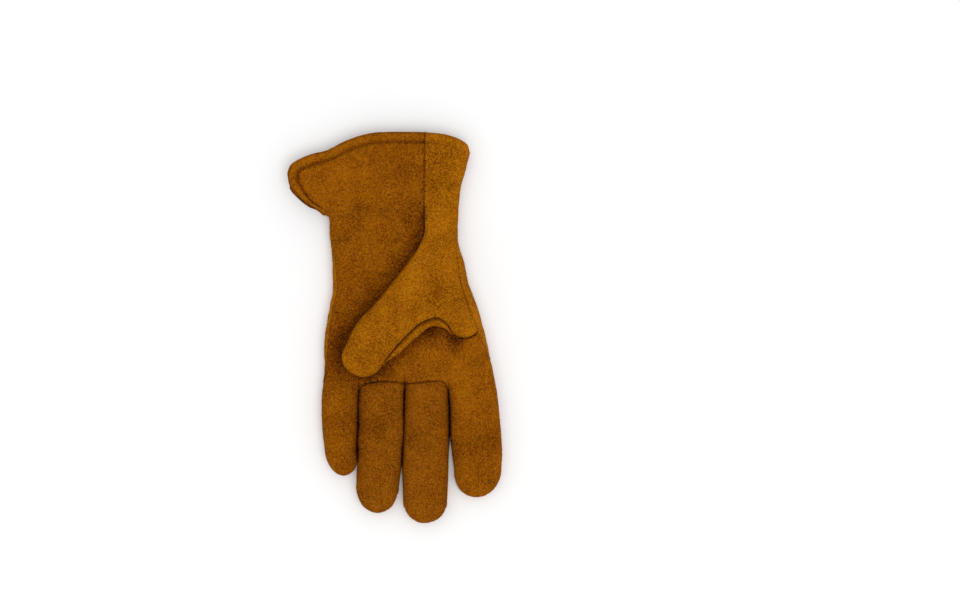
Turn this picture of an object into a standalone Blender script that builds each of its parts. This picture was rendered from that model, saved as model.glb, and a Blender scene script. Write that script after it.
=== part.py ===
"""A driver's work glove for the left hand, in split cowhide, laid palm up with the thumb
folded over the palm. The back lies on the table at z = 0, +Y points to the cuff, -Y to the
fingertips and +X to the thumb side. The origin is under the middle of the glove's box.

Every panel is worked out as a sheet (the outside face of the hide), trimmed back a little at
its seams, rolled in there, and given its wall by Solidify. Lengths below are in millimetres.
"""
import bmesh
import bpy
import numpy as np
from mathutils import Matrix

MM = 0.001
BOX_MIDDLE = (-0.9, 0.3)  # middle of the laid glove in the plan that the tables give

# ---- hide and seams ----
WALL = 1.3            # thickness of the split hide
HEM_WALL = 2.5        # the hem is the hide turned in on itself
HEM_WIDTH = 6.0       # from the edge to the hem's stitch line
HEM_SWELL = 0.6       # how far the hem stands proud of the panel
SEAM_GAP = 0.5        # clear space between two panels at their seam
SEAM_ROLL = 0.45      # how far a sewn edge is rolled in
ROLL_WIDTH = 1.3      # width of the rolled strip along an edge

# ---- thickness of the glove as it lies ----
SEAM_Z = 6.0          # height of the side seams
BODY_RISE = 6.4       # from the side seams to the top of the palm
FINGER_RISE = 8.4     # the same on the fingers
UNDER_RADIUS = 5.0    # rounding of the sides below the seams
BODY_RADIUS = 8.0     # and above them, on the palm
FINGER_RADIUS = 10.0  # and above them, on the fingers
THUMB_MID_Z = 17.6    # height of the folded thumb's edges

# ---- fingers ----
STRIP_DROP = 0.4      # a side strip's upper edge lies this far below the seam
STRIP_INSET = 4.6     # how far under a finger its side strip reaches
STRIP_SHORT = 3       # rows of a finger's tip that its side strips leave out
ARCH_RADIUS = 5.2     # turn of a side strip round the crotch, on the back
ARCH_BACK = 6.8       # the back is slit this much further towards the wrist than the palm

# Sections of the hand from the wrist to the crotches: height up the glove, little-finger side
# and thumb side.
HAND = {
    "y":      (72.0, 58.0, 40.0, 26.0, 12.0, -8.0, -26.0, -42.0),
    "little": (-43.2, -42.0, -40.6, -40.3, -43.2, -45.9, -46.1, -47.4),
    "thumb":  (41.5, 41.3, 45.8, 49.6, 54.5, 59.5, 63.6, 66.7),
}
# The thumb side of the cuff, above the wrist.
CUFF_SIDE = {
    "y":     (113.5, 107.0, 100.0, 92.0, 84.0, 72.0),
    "thumb": (49.0, 47.3, 45.7, 43.2, 42.3, 41.5),
}
# Sections of each finger: height, centre and half width; then how far its tip reaches past the
# last one, and how far the tip leans sideways.
FINGERS = {
    "little": {"y": (-42.0, -62.0, -82.0), "centre": (-35.6, -35.9, -34.9),
               "half": (11.8, 11.7, 10.5), "tip": 15.0, "lean": 1.5},
    "ring": {"y": (-42.0, -62.0, -82.0, -104.0), "centre": (-8.4, -9.0, -9.7, -11.2),
             "half": (14.4, 14.6, 14.4, 13.6), "tip": 17.4, "lean": 0.0},
    "middle": {"y": (-42.0, -62.0, -90.0, -114.0), "centre": (20.9, 20.8, 20.1, 19.9),
               "half": (13.7, 14.3, 14.7, 14.0), "tip": 13.8, "lean": 0.0},
    "index": {"y": (-42.0, -62.0, -80.0, -94.0), "centre": (51.2, 52.7, 53.9, 54.4),
              "half": (15.5, 16.1, 16.3, 15.2), "tip": 17.2, "lean": -1.0},
}
CROTCHES = {"little_ring": (-23.3, -42.0), "ring_middle": (6.6, -37.8), "middle_index": (35.1, -42.0)}

FINGER_CROTCHES = {"little": ("little_ring", "little_ring"), "ring": ("little_ring", "ring_middle"),
                   "middle": ("ring_middle", "middle_index"), "index": ("middle_index", "middle_index")}

# Edges of the cuff: the mouth from the little-finger corner to the thumb side, and the vent.
MOUTH_EDGE = ((-70.7, 100.5), (-68.6, 105.8), (-61.8, 110.4), (-53.5, 113.6), (-45.0, 115.5),
              (-33.0, 121.4), (-22.0, 125.4), (-10.0, 127.5), (5.0, 127.8), (19.8, 127.6))
THUMB_MOUTH_EDGE = ((19.8, 127.6), (34.7, 125.7), (42.4, 122.8), (47.2, 119.3), (49.0, 113.5))
VENT_EDGE = ((-70.7, 100.5), (-68.4, 92.8), (-62.9, 86.3), (-55.3, 79.8), (-48.8, 75.8),
             (-43.2, 72.0))
VENT_PEEK = (1.1, 0.9)    # the back's hem shows this far beyond the palm's along the vent
# The thumb side seam of the back, seen on top of the hand: height, and distance in from the side.
SIDE_SEAM = {"y": (70.0, 54.0, 40.0, 23.5, 11.4, -1.8, -14.0, -40.0),
             "inset": (0.0, 1.2, 4.0, 5.6, 5.6, 3.6, 1.6, 0.0)}
# The little-finger side seam of the back, in the same way.
LITTLE_SEAM = {"y": (72.0, 58.0, 42.0, 16.0, -20.0, -56.0, -80.0),
               "inset": (0.0, 0.9, 1.9, 2.7, 3.0, 1.9, 0.0)}
# Seam between the palm and the fronts of the two middle fingers.
BASE_SEAM = ((-23.3, -42.0), (-21.5, -38.6), (-17.0, -36.2), (-8.0, -34.9), (1.0, -35.2),
             (6.6, -36.8), (12.0, -36.3), (21.0, -35.2), (29.5, -34.8), (33.6, -37.6), (35.1, -42.0))
# Edge of the thumb hole in the palm, from the cuff down to the thumb's lower corner.
THUMB_HOLE = ((19.6, 127.6), (19.5, 96.0), (19.4, 80.0), (19.4, 66.0), (22.5, 52.0), (34.0, 18.0),
              (42.3, -6.7))

# Rows of the outer thumb panel, from the cuff to the start of the thumb's tip. far: its edge on
# the palm side; near: its edge on the index side; z_*: heights at the far edge, the crown and
# the near edge; r_*: how wide each edge rounds over; steep: 0.5 a round near edge, 1 a sloped
# one; bow: how far the row bends towards the wrist.
THUMB_COLUMNS = ("far_x", "far_y", "near_x", "near_y", "z_far", "z_crown", "z_near",
                 "r_far", "r_near", "steep", "bow")
THUMB_ROWS = (
    (19.6, 127.6, 49.0, 113.5, 11.6, 11.6, 6.0, 8.0, 8.0, 0.5, 0.0),
    (19.5, 112.0, 47.2, 105.0, 11.8, 11.8, 6.0, 8.0, 8.0, 0.5, 0.0),
    (19.5, 96.0, 43.6, 93.0, 12.2, 12.2, 6.0, 8.0, 8.0, 0.5, 0.0),
    (19.4, 80.0, 41.8, 78.0, 12.4, 12.6, 6.0, 8.0, 8.5, 0.5, 0.0),
    (19.4, 64.0, 41.4, 61.0, 12.6, 14.6, 6.0, 6.0, 11.0, 0.55, 0.0),
    (16.0, 53.0, 41.7, 41.0, 16.6, 18.8, 9.0, 7.0, 15.0, 0.8, 0.0),
    (10.5, 44.5, 44.4, 23.5, 17.6, 21.6, 11.6, 8.0, 17.0, 1.0, 0.0),
    (7.0, 39.5, 48.9, 11.4, 17.6, 22.6, 11.8, 9.0, 19.0, 1.0, 0.0),
    (4.0, 35.8, 55.6, -1.8, 17.6, 23.2, 11.0, 9.0, 21.0, 1.0, 1.0),
    (2.0, 33.0, 45.8, -7.2, 17.6, 23.6, 12.6, 9.0, 19.0, 0.9, 4.0),
    (0.0, 30.5, 39.3, -5.2, 17.6, 24.0, 14.5, 10.0, 14.0, 0.7, 5.0),
    (-2.5, 27.4, 34.3, 2.4, 17.6, 24.0, 19.0, 10.0, 12.0, 0.55, 2.5),
    (-6.5, 22.4, 27.9, 6.4, 17.6, 24.0, 20.6, 10.0, 10.0, 0.5, 0.0),
    (-14.5, 13.2, 18.4, 3.4, 17.6, 24.0, 20.6, 10.0, 10.0, 0.5, 0.0),
    (-24.5, 2.4, 6.3, -7.6, 17.6, 24.0, 20.0, 10.0, 10.0, 0.5, 0.0),
    (-34.3, -15.5, -6.5, -22.0, 17.6, 23.6, 17.6, 10.0, 10.0, 0.5, 0.0),
)
THUMB_TIP = 13.0          # how far the thumb's tip reaches past the last row
THUMB_LIP = 4.6           # the inner thumb panel shows this far beyond its seam
LIFT_ROW = 5.05           # the inner thumb panel starts here along the far edge
CORNER_ROW = 9.95         # and here along the near edge
SIDE_ROWS = 8             # down to this row the near edge is the hand's side seam
HOLE_CORNER = 9.5         # place of the thumb hole's lower corner along the near edge

# Gathers of the back at the wrist elastic.
GATHER_Y = 73.0
GATHER_LENGTH = 15.0      # how far the gathers run out to each side
GATHER_RISE = 1.6
ELASTIC_RISE = 1.2

SUEDE = (0.26, 0.082, 0.006)
STRIP_SUEDE = (0.36, 0.13, 0.008)


# ---------------------------------------------------------------- curves and sheets
def smooth(keys, values, at):
    """A smooth curve through (key, value) pairs, read at each of at. It turns only at its
    points, so it never swings past them. Keys may fall or rise."""
    keys, values, at = np.asarray(keys, float), np.asarray(values, float), np.asarray(at, float)
    if keys[0] > keys[-1]:
        keys, values = keys[::-1], values[::-1]
    step = np.diff(keys)
    slope = np.diff(values, axis=0) / step.reshape((-1,) + (1,) * (values.ndim - 1))
    wide = step.reshape((-1,) + (1,) * (values.ndim - 1))
    middle = (slope[:-1] * wide[1:] + slope[1:] * wide[:-1]) / (wide[1:] + wide[:-1])
    limit = 2 * np.minimum(np.abs(slope[:-1]), np.abs(slope[1:])) * (slope[:-1] * slope[1:] > 0)
    middle = np.clip(middle, -limit, limit)
    tangent = np.concatenate([slope[:1], middle, slope[-1:]])
    at = np.clip(at, keys[0], keys[-1])
    k = np.clip(np.searchsorted(keys, at, side="right") - 1, 0, len(step) - 1)
    s = ((at - keys[k]) / step[k]).reshape(at.shape + (1,) * (values.ndim - 1))
    w = wide[k]
    return ((1 + 2 * s) * (1 - s) ** 2 * values[k] + s * (1 - s) ** 2 * w * tangent[k]
            + s * s * (3 - 2 * s) * values[k + 1] + s * s * (s - 1) * w * tangent[k + 1])


def along(points, at):
    """Points of a smooth line through points, at fractions of its length."""
    points = np.asarray(points, float)
    run = np.concatenate([[0.0], np.cumsum(np.linalg.norm(np.diff(points, axis=0), axis=1))])
    return smooth(run / run[-1], points, at)


def fill(top, bottom, left, right, across, down):
    """A sheet between four edges (a Coons patch), at fractions across and down it."""
    s, t = across[None, :, None], down[:, None, None]
    corners = ((1 - s) * (1 - t) * top[0] + s * (1 - t) * top[-1]
               + (1 - s) * t * bottom[0] + s * t * bottom[-1])
    return ((1 - t) * top[None] + t * bottom[None]
            + (1 - s) * left[:, None] + s * right[:, None] - corners)


def round_over(distance, radius):
    """Rise of a rounded edge, 0 at the edge and 1 at its radius from it: a quarter circle."""
    x = np.clip(np.asarray(distance, float) / radius, 0, 1)
    return np.sqrt(x * (2 - x))


def ramp(x):
    x = np.clip(x, 0, 1)
    return x * x * (3 - 2 * x)


def edge_steps(radius, turns):
    """Distances in from a rounded edge whose turns are even: 0 at the edge, radius at its end."""
    return radius * (1 - np.cos(np.linspace(0, np.pi / 2, turns + 1)))


# ---------------------------------------------------------------- the hand in plan
def side_little(y):
    return smooth(HAND["y"], HAND["little"], y)


def side_thumb(y):
    return np.where(np.asarray(y) > CUFF_SIDE["y"][-1],
                    smooth(CUFF_SIDE["y"], CUFF_SIDE["thumb"], y),
                    smooth(HAND["y"], HAND["thumb"], y))


def vent_x(y):
    """The vent's edge, from the wrist up to the corner of the cuff."""
    edge = np.array(VENT_EDGE)
    return smooth(edge[:, 1], edge[:, 0], y)


def hem_share(x, y):
    """1 on the hem of the mouth and the vent, 0 beyond its stitch line."""
    edges = [np.array(edge) for edge in (MOUTH_EDGE, THUMB_MOUTH_EDGE, VENT_EDGE)]
    away = np.full(np.shape(x), 99.0)
    for edge in edges:
        line = along(edge, np.linspace(0, 1, 60))
        gap = np.hypot(np.asarray(x)[..., None] - line[:, 0], np.asarray(y)[..., None] - line[:, 1])
        away = np.minimum(away, gap.min(-1))
    return ramp((HEM_WIDTH - away) / 1.5)


def far_from_sides(x, y):
    """Distance in from the nearer side of the hand. The vent's flap counts as far in."""
    left = np.where(y > HAND["y"][0], x - vent_x(y) + 40 * ramp((y - 72) / 12), x - side_little(y))
    return np.minimum(left, side_thumb(y) - x)


def crotch_near(x):
    """Height of the slits' ends near a place across the hand."""
    places = np.array(list(CROTCHES.values()))
    return np.interp(x, places[:, 0], places[:, 1])


def finger_plan(finger, u, q, v):
    """Plan of a finger: u across from -1 to 1, q down to where its tip starts, v round the tip."""
    y0 = finger["y"][-1]
    centre = smooth(finger["y"], finger["centre"], q)
    half = smooth(finger["y"], finger["half"], q)
    x = centre + half * u * np.sqrt(1 - v * v / 2) + finger["lean"] * v
    y = np.where(v > 0, y0 - finger["tip"] * v * np.sqrt(1 - u * u / 2), q)
    rim = np.sqrt(np.clip(u * u + v * v - (u * v) ** 2, 0, 1))
    return x, y, (1 - rim) * half


# ---------------------------------------------------------------- heights
def under_z(x, y, edge):
    """Height of the back's outer face: flat on the table, rounding up to the side seams."""
    flap = ramp((y - 72) / 10) * (x < 0)
    z = SEAM_Z * (1 - round_over(edge, UNDER_RADIUS)) * (1 - flap)
    near = ramp(1 - np.abs(y - GATHER_Y) / GATHER_LENGTH) * ramp(edge / 10)
    return z + near * ELASTIC_RISE


def palm_z(x, y):
    """Height of the palm's outer face, with the dent that the folded thumb presses in it."""
    z = SEAM_Z + BODY_RISE * round_over(far_from_sides(x, y), BODY_RADIUS)
    z = z - 0.8 * ramp((y - 90) / 30)
    along_thumb = np.clip(((x - 20) * -0.55 + (y - 30) * -0.83) / 60, 0, 1)
    off = np.hypot(x - (20 - 33 * along_thumb), y - (30 - 50 * along_thumb))
    return z - 1.6 * ramp(1 - off / 30) + HEM_SWELL * hem_share(x, y)


def front_z(x, y, edge):
    """Height of a finger's front: its own dome, growing out of the palm at the crotch."""
    grown = ramp(1 - (y - crotch_near(x)) / 10)
    return (1 - grown) * palm_z(x, y) + grown * (SEAM_Z + FINGER_RISE * round_over(edge, FINGER_RADIUS))


# ---------------------------------------------------------------- panels as grids of points
def stack(x, y, z):
    return np.stack(np.broadcast_arrays(x, y, z), axis=-1)


def finger_u(finger, radius, turns):
    """Places across a finger, from -1 to 1, closer where its sides round over."""
    steps = 1 - edge_steps(radius, turns) / finger["half"][0]
    return np.concatenate([-steps, steps[::-1]])


def finger_rows(finger, straight, tip):
    """Pairs (q, v) down a finger: straight rows, then rows round its tip."""
    y0 = finger["y"][-1]
    q = np.concatenate([np.linspace(finger["y"][0], y0, straight + 1), np.full(tip, y0)])
    v = np.concatenate([np.zeros(straight + 1), np.sin(np.linspace(0, np.pi / 2, tip + 1)[1:])])
    return q[:, None], v[:, None]


def base_line(x):
    """The row across the hand at the fingers' roots: the seam, level outside it."""
    seam = np.array(BASE_SEAM)
    return smooth(seam[:, 0], seam[:, 1], x)


def front_grid(name, turns=3, straight=4, tip=4):
    """A finger's front, from the base seam to the tip."""
    finger = FINGERS[name]
    u = finger_u(finger, FINGER_RADIUS, turns)[None]
    q, v = finger_rows(finger, straight, tip)
    x, y, edge = finger_plan(finger, u, q, v)
    y = y + root_shift(finger, x[0], q, v)
    if name == "little":                          # its outer edge is the seam, in from the side
        x = x + (u < -0.6) * little_inset(y) * ramp((-0.6 - u) / 0.4)
        edge = edge + (u < -0.6) * little_inset(y) * ramp((-0.6 - u) / 0.4)
    return stack(x, y, front_z(x, y, edge))


def root_shift(finger, x, q, v):
    """How far a front's rows move towards the wrist to start on the base seam."""
    share = ramp(1 - (finger["y"][0] - q) / 30) * (v == 0)
    return share * (base_line(np.clip(x, BASE_SEAM[0][0], BASE_SEAM[-1][0])) - finger["y"][0])


def little_inset(y):
    return smooth(LITTLE_SEAM["y"], LITTLE_SEAM["inset"], y) * (y < LITTLE_SEAM["y"][0])


def side_inset(y):
    return smooth(SIDE_SEAM["y"], SIDE_SEAM["inset"], y) * (y < SIDE_SEAM["y"][0])


def palm_grids():
    """The palm: the upper part beside the thumb hole, the part below it, two finger fronts."""
    fingers = {name: front_grid(name) for name in FINGERS}
    base = np.concatenate([fingers["little"][0], fingers["ring"][0][1:], fingers["middle"][0][1:],
                           fingers["index"][0][1:]])
    per_finger = len(fingers["little"][0]) - 1
    corner = 3 * per_finger + 3                     # column of the thumb hole's lower corner
    hole = np.array(THUMB_HOLE)
    down = np.concatenate([(0.0, 0.045), np.linspace(0.12, 1, 11)])
    left_y = np.linspace(72.0, hole[-1, 1], 9)
    left = np.concatenate([along(VENT_EDGE, np.linspace(0, 1, 5)[:-1]),
                           np.stack([side_little(left_y) + little_inset(left_y), left_y], axis=1)])
    right = along(hole, down)
    across = (base[:corner + 1, 0] - base[0, 0]) / (base[corner, 0] - base[0, 0])
    top = along(MOUTH_EDGE, across)
    level = np.linspace(left[-1], hole[-1], 200)
    foot_x = left[-1, 0] + (hole[-1, 0] - left[-1, 0]) * across
    foot = np.stack([foot_x, np.interp(foot_x, level[:, 0], level[:, 1])], axis=1)
    upper = fill(top, foot, left, right, across, down)

    rest = len(base) - 1 - corner
    row_top = np.concatenate([foot, hole_foot(rest + 1)[1:]])
    low_down = np.linspace(0, 1, 5)
    low_y = foot[0, 1] + (base[0, 1] - foot[0, 1]) * low_down
    low_left = np.stack([side_little(low_y) + little_inset(low_y), low_y], axis=1)
    high_y = row_top[-1, 1] + (base[-1, 1] - row_top[-1, 1]) * low_down
    low_right = np.stack([side_thumb(high_y) - side_inset(high_y), high_y], axis=1)
    low_across = (base[:, 0] - base[0, 0]) / (base[-1, 0] - base[0, 0])
    lower = fill(row_top, base[:, :2], low_left, low_right, low_across, low_down)

    body = [raised(upper), raised(lower)]
    body[1][-1] = base
    return body + [fingers["little"], fingers["index"]], fingers


def raised(plan):
    """A palm grid with its heights, the fingers' domes beginning towards their roots."""
    x, y = plan[..., 0], plan[..., 1]
    return stack(x, y, front_z(x, y, np.minimum(distance_to_slits(x), far_from_sides(x, y))))


def distance_to_slits(x):
    places = np.array([place[0] for place in CROTCHES.values()])
    return np.abs(np.asarray(x)[..., None] - places).min(-1)


def thumb_rows(at):
    """The thumb table's columns, read between its rows. Above the thumb hole's foot the near
    edge is the hand's side seam."""
    row = dict(zip(THUMB_COLUMNS, smooth(np.arange(len(THUMB_ROWS)), THUMB_ROWS, at).T))
    inset = side_inset(row["near_y"])
    on_side = at <= SIDE_ROWS
    row["near_x"] = np.where(on_side, side_thumb(row["near_y"]) - inset, row["near_x"])
    side_z = SEAM_Z + BODY_RISE * round_over(inset, BODY_RADIUS)
    row["z_near"] = np.where(on_side, side_z, row["z_near"])
    return row


def hole_foot(count):
    """The seam below the thumb hole, from its lower corner to the side of the hand."""
    row = thumb_rows(np.linspace(HOLE_CORNER, SIDE_ROWS, count))
    return np.stack([row["near_x"], row["near_y"]], axis=1)


def thumb_outer_grids(rows=28, turns=3):
    """The outer thumb panel: cuff, root and thumb as one sheet, then its tip."""
    last = len(THUMB_ROWS) - 1
    at = np.concatenate([(0.0, 0.4), np.linspace(1, last, rows - 1)])
    row = {k: v[:, None] for k, v in thumb_rows(at).items()}
    length = np.hypot(row["near_x"] - row["far_x"], row["near_y"] - row["far_y"])
    far_steps, near_steps = edge_steps(1.0, turns), 1 - edge_steps(1.0, turns)[::-1]
    far_part, near_part = row["r_far"] / length, row["r_near"] / length
    s = np.concatenate([far_steps * far_part, (1 + far_part - near_part) / 2,
                        1 - (1 - near_steps) * near_part], axis=1)
    s[:, -1] = 1.0
    x = row["far_x"] + (row["near_x"] - row["far_x"]) * s
    y = row["far_y"] + (row["near_y"] - row["far_y"]) * s
    bend = row["bow"] * 6.75 * s * s * (1 - s) / length
    x, y = x - (row["near_y"] - row["far_y"]) * bend, y + (row["near_x"] - row["far_x"]) * bend
    mouth = along(THUMB_MOUTH_EDGE, s[0])
    fade = (1 - ramp(at / 3))[:, None]
    x, y = x + fade * (mouth[:, 0] - x[0]), y + fade * (mouth[:, 1] - y[0])
    far = round_over(s * length, row["r_far"])
    near = round_over((1 - s) * length, row["r_near"]) ** (2 * row["steep"])
    z = (row["z_crown"] - (row["z_crown"] - row["z_far"]) * (1 - far)
         - (row["z_crown"] - row["z_near"]) * (1 - near))
    body = stack(x, y, z + HEM_SWELL * hem_share(x, y))
    return [body, thumb_tip(body[-1], s[-1] * 2 - 1, 1.0)]


def thumb_tip(last_row, u, side, turns=3):
    """Half of the thumb's round tip, above its middle (side 1) or below it (side -1)."""
    end = THUMB_ROWS[-1]
    far, near = np.array(end[0:2]), np.array(end[2:4])
    middle, half = (far + near) / 2, (near - far) / 2
    width = np.hypot(*half)
    ahead = np.array((half[1], -half[0])) / width * THUMB_TIP
    v = np.sin(np.linspace(0, np.pi / 2, turns + 1))[:, None]
    u = u[None]
    a, b = u * np.sqrt(1 - v * v / 2), v * np.sqrt(1 - u * u / 2)
    x, y = middle[0] + a * half[0] + b * ahead[0], middle[1] + a * half[1] + b * ahead[1]
    rim = np.sqrt(np.clip(u * u + v * v - (u * v) ** 2, 0, 1))
    rise = round_over((1 - rim) * width, end[7])
    if side > 0:
        z = THUMB_MID_Z + (end[5] - THUMB_MID_Z) * rise
    else:
        z = THUMB_MID_Z + (thumb_bed(x, y) - THUMB_MID_Z) * rise
    return stack(x, y, z)


def thumb_bed(x, y):
    """Where the folded thumb lies on the palm."""
    return palm_z(x, y) + SEAM_GAP


def thumb_inner_grids(rows=14, turns=3):
    """The inner thumb panel: it lies on the palm, from the thumb hole to the tip, and turns up
    at both edges; along the near edge it shows as a lip below the outer panel's seam."""
    t = np.linspace(0, 1, rows + 1)
    last = len(THUMB_ROWS) - 1
    far_at = LIFT_ROW + (last - LIFT_ROW) * t ** 0.8
    near_at = CORNER_ROW + (last - CORNER_ROW) * t
    far_row, near_row = thumb_rows(far_at), thumb_rows(near_at)
    far = np.stack([far_row["far_x"], far_row["far_y"]], axis=1)
    near = np.stack([near_row["near_x"], near_row["near_y"]], axis=1)
    tangent = np.gradient(near, axis=0)
    tangent /= np.linalg.norm(tangent, axis=1, keepdims=True)
    outward = np.stack([-tangent[:, 1], tangent[:, 0]], axis=1)
    lip = (THUMB_LIP * ramp(t / 0.25) * ramp((1 - t) / 0.35))[:, None]
    edge = near + outward * lip
    z_far, z_near = far_row["z_far"][:, None], near_row["z_near"][:, None]
    root = ramp(t / 0.2)[:, None]
    span = (edge - far)[:, None]
    length = np.linalg.norm(span, axis=2)
    steps = edge_steps(1.0, turns)
    radius = 5.0
    s = np.concatenate([steps * radius / length, 0.35 + 0 * length, 0.65 + 0 * length,
                        1 - steps[::-1] * radius / length], axis=1)
    plan = far[:, None] + span * s[..., None]
    bed = thumb_bed(plan[..., 0], plan[..., 1])
    up_far = 1 - round_over(s * length, radius)
    up_near = 1 - round_over((1 - s) * length, radius)
    middle_z = np.minimum(THUMB_MID_Z, bed + (THUMB_MID_Z - bed) * root)
    rooted = 0.82 + 0.18 * ramp(t / 0.12)[:, None]
    z = bed + up_far * (z_far - bed) * rooted + up_near * (middle_z - bed)
    body = stack(plan[..., 0], plan[..., 1], z)
    lift = np.linspace(0, 1, 3)[None, 1:]
    back_in = edge[:, None] + (near - edge)[:, None] * (1 - np.sqrt(1 - lift ** 2))[..., None]
    lip_z = z[:, -1:] + (z_near - z[:, -1:]) * lift
    lip_part = stack(back_in[..., 0], back_in[..., 1], lip_z)
    body = np.concatenate([body, lip_part], axis=1)
    tip_u = np.concatenate([s[-1] * 2 - 1, [1.0, 1.0]])
    tip = thumb_tip(body[-1], tip_u, -1.0)
    body[-1] = tip[0]
    return [body, tip]


def back_finger_grid(name, turns=2, straight=4, tip=4):
    """A finger's back: flat on the table, from side strip to side strip, closing at the tip."""
    finger = FINGERS[name]
    q, v = finger_rows(finger, straight, tip)
    half = smooth(finger["y"], finger["half"], q)
    inset = 1 - STRIP_INSET / half * (1 - v)
    low = -1.0 if name == "little" else -inset
    high = 1.0 if name == "index" else inset
    side = edge_steps(UNDER_RADIUS, turns) / finger["half"][0]
    middle = np.linspace(0, 1, 4)
    if name == "little":
        u = np.concatenate([-1 + side + 0 * q, (-1 + side[-1]) + (high + 1 - side[-1]) * middle[1:]], axis=1)
    elif name == "index":
        u = np.concatenate([low + (1 - side[-1] - low) * middle[:-1], 1 - side[::-1] + 0 * q], axis=1)
    else:
        u = low + (high - low) * middle[None]
    x, y, edge = finger_plan(finger, u, q, v)
    first, second = [arch_foot(place) for place in FINGER_CROTCHES[name]]
    over = (u[:1] - u[0, 0]) / (u[0, -1] - u[0, 0])
    y = y + back_shift(finger, first + (second - first) * over, q)
    return stack(x, y, under_z(x, y, edge))


def arch_foot(crotch_name):
    """Height at which the turn round a crotch begins on the back."""
    return CROTCHES[crotch_name][1] + ARCH_BACK - ARCH_RADIUS


def back_shift(finger, start, q):
    """How far a finger's back rows move so that the first is at start and the last stays."""
    y_root, y_tip = finger["y"][0], finger["y"][-1]
    return (start - y_root) * (q - y_tip) / (y_root - y_tip)


def arch(crotch, radius, level, turns=4):
    """A half circle round a crotch, from its little-finger side over to its thumb side."""
    angle = np.linspace(np.pi, 0, turns + 1)
    return np.stack([crotch[0] + radius * np.cos(angle), level + radius * np.sin(angle)], axis=1)


def back_grids():
    """The back: the hand, four fingers, and the two strips that turn up round its sides."""
    fingers = {name: back_finger_grid(name) for name in FINGERS}
    foot = [fingers["little"][0]]
    for crotch, name in zip(CROTCHES.values(), ("ring", "middle", "index")):
        left, right = foot[-1][-1], fingers[name][0][0]
        centre = ((left[0] + right[0]) / 2, 0)
        turn = arch(centre, (right[0] - left[0]) / 2, left[1])[1:-1]
        foot.append(stack(turn[:, 0], turn[:, 1], left[2]))
        foot.append(fingers[name][0])
    foot3 = np.concatenate(foot)
    foot = foot3[:, :2]
    across = (foot[:, 0] - foot[0, 0]) / (foot[-1, 0] - foot[0, 0])
    down = np.concatenate([(0.0, 0.036), np.linspace(0.1, 1, 13)])
    mouth = np.concatenate([peeking(MOUTH_EDGE), np.array(THUMB_MOUTH_EDGE)[1:]])
    top = along(mouth, across)
    left = along(np.concatenate([peeking(VENT_EDGE), sides_line(side_little, foot[0, 1])]), down)
    right_y = np.interp(down, (0, 1), (THUMB_MOUTH_EDGE[-1][1], foot[-1, 1]))
    right = np.stack([side_thumb(right_y), right_y], axis=1)
    hand = fill(top, foot, left, right, across, down)
    x, y = hand[..., 0], hand[..., 1]
    z = under_z(x, y, far_from_sides(x, y))
    column = np.arange(len(across))[None]
    gather = ramp(1 - np.abs(y - GATHER_Y) / GATHER_LENGTH) * ramp(far_from_sides(x, y) / 10)
    z = z + GATHER_RISE * gather * (column % 2)
    hand = stack(x, y, z)
    hand[-1] = foot3
    little_side = np.concatenate([hand[left[:, 1] < 72.5, 0], fingers["little"][1:, 0]])
    thumb_side = np.concatenate([hand[:, -1], fingers["index"][1:, -1]])
    upturns = [side_strip(little_side, little_inset, 1), side_strip(thumb_side, side_inset, -1)]
    return [hand] + list(fingers.values()) + upturns


def peeking(edge):
    """An edge of the palm's cuff, moved out to where the back's shows beyond it at the vent."""
    edge = np.array(edge)
    return edge - np.array(VENT_PEEK) * ramp((edge[:, 1:] - 74) / 6) * ramp((112 - edge[:, 1:]) / 10)


def sides_line(side, end_y):
    y = np.linspace(64, end_y, 12)
    return np.stack([side(y), y], axis=1)


def side_strip(side, inset, inward, turns=2):
    """The strip of the back that turns up round a side of the hand to its seam on top."""
    y = side[:, 1:2]
    reach = inset(y) * np.linspace(0, 1, turns + 1)[None] ** 1.6
    rise = BODY_RISE * round_over(reach, BODY_RADIUS)
    return stack(side[:, :1] + inward * reach, y, side[:, 2:] + rise)


def strip_grids(crotch_name, little_name, thumb_name, turns=2):
    """The strip between two fingers: down one finger's side to its tip, and round the crotch."""
    crotch = CROTCHES[crotch_name]
    parts, roots = [], []
    for name, sign in ((little_name, 1), (thumb_name, -1)):
        finger = FINGERS[name]
        q, v = finger_rows(finger, 4, 4)
        half = smooth(finger["y"], finger["half"], q)
        inner = 1 - STRIP_INSET / half * (1 - v) * (1 - 0.08 * (v > 0))
        u = 1 - (1 - inner) * (1 - np.cos(np.linspace(0, np.pi / 2, turns + 2)))[None]
        x, y, edge = finger_plan(finger, sign * u, q, v)
        share = (1 - np.cos(np.linspace(0, np.pi / 2, turns + 2)))[None]
        moved = back_shift(finger, arch_foot(crotch_name), q)
        y = y + (1 - share) * root_shift(finger, x[0, 0], q, v) + share * moved
        grid = stack(x, y, under_z(x, y, edge) - STRIP_DROP * (1 - share))
        parts.append(grid)
        roots.append(grid[0])
    angle = np.linspace(np.pi, 0, 7)[:, None, None]
    middle, half = (roots[0] + roots[1]) / 2, (roots[1] - roots[0]) / 2
    reach = half[:, :1]
    towards_wrist = np.array((0.0, 1.0, 0.0))
    web = middle + half * np.cos(angle) + reach * towards_wrist * np.sin(angle)
    return [parts[0][:-STRIP_SHORT, ::-1], parts[1][:-STRIP_SHORT], web]


# ---------------------------------------------------------------- from grids to a wall of hide
def suede(name, colour):
    material = bpy.data.materials.new(name)
    material.use_nodes = True
    shader = material.node_tree.nodes["Principled BSDF"]
    shader.inputs["Base Color"].default_value = (*colour, 1)
    shader.inputs["Roughness"].default_value = 0.95
    shader.inputs["Metallic"].default_value = 0.0
    return material


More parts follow.
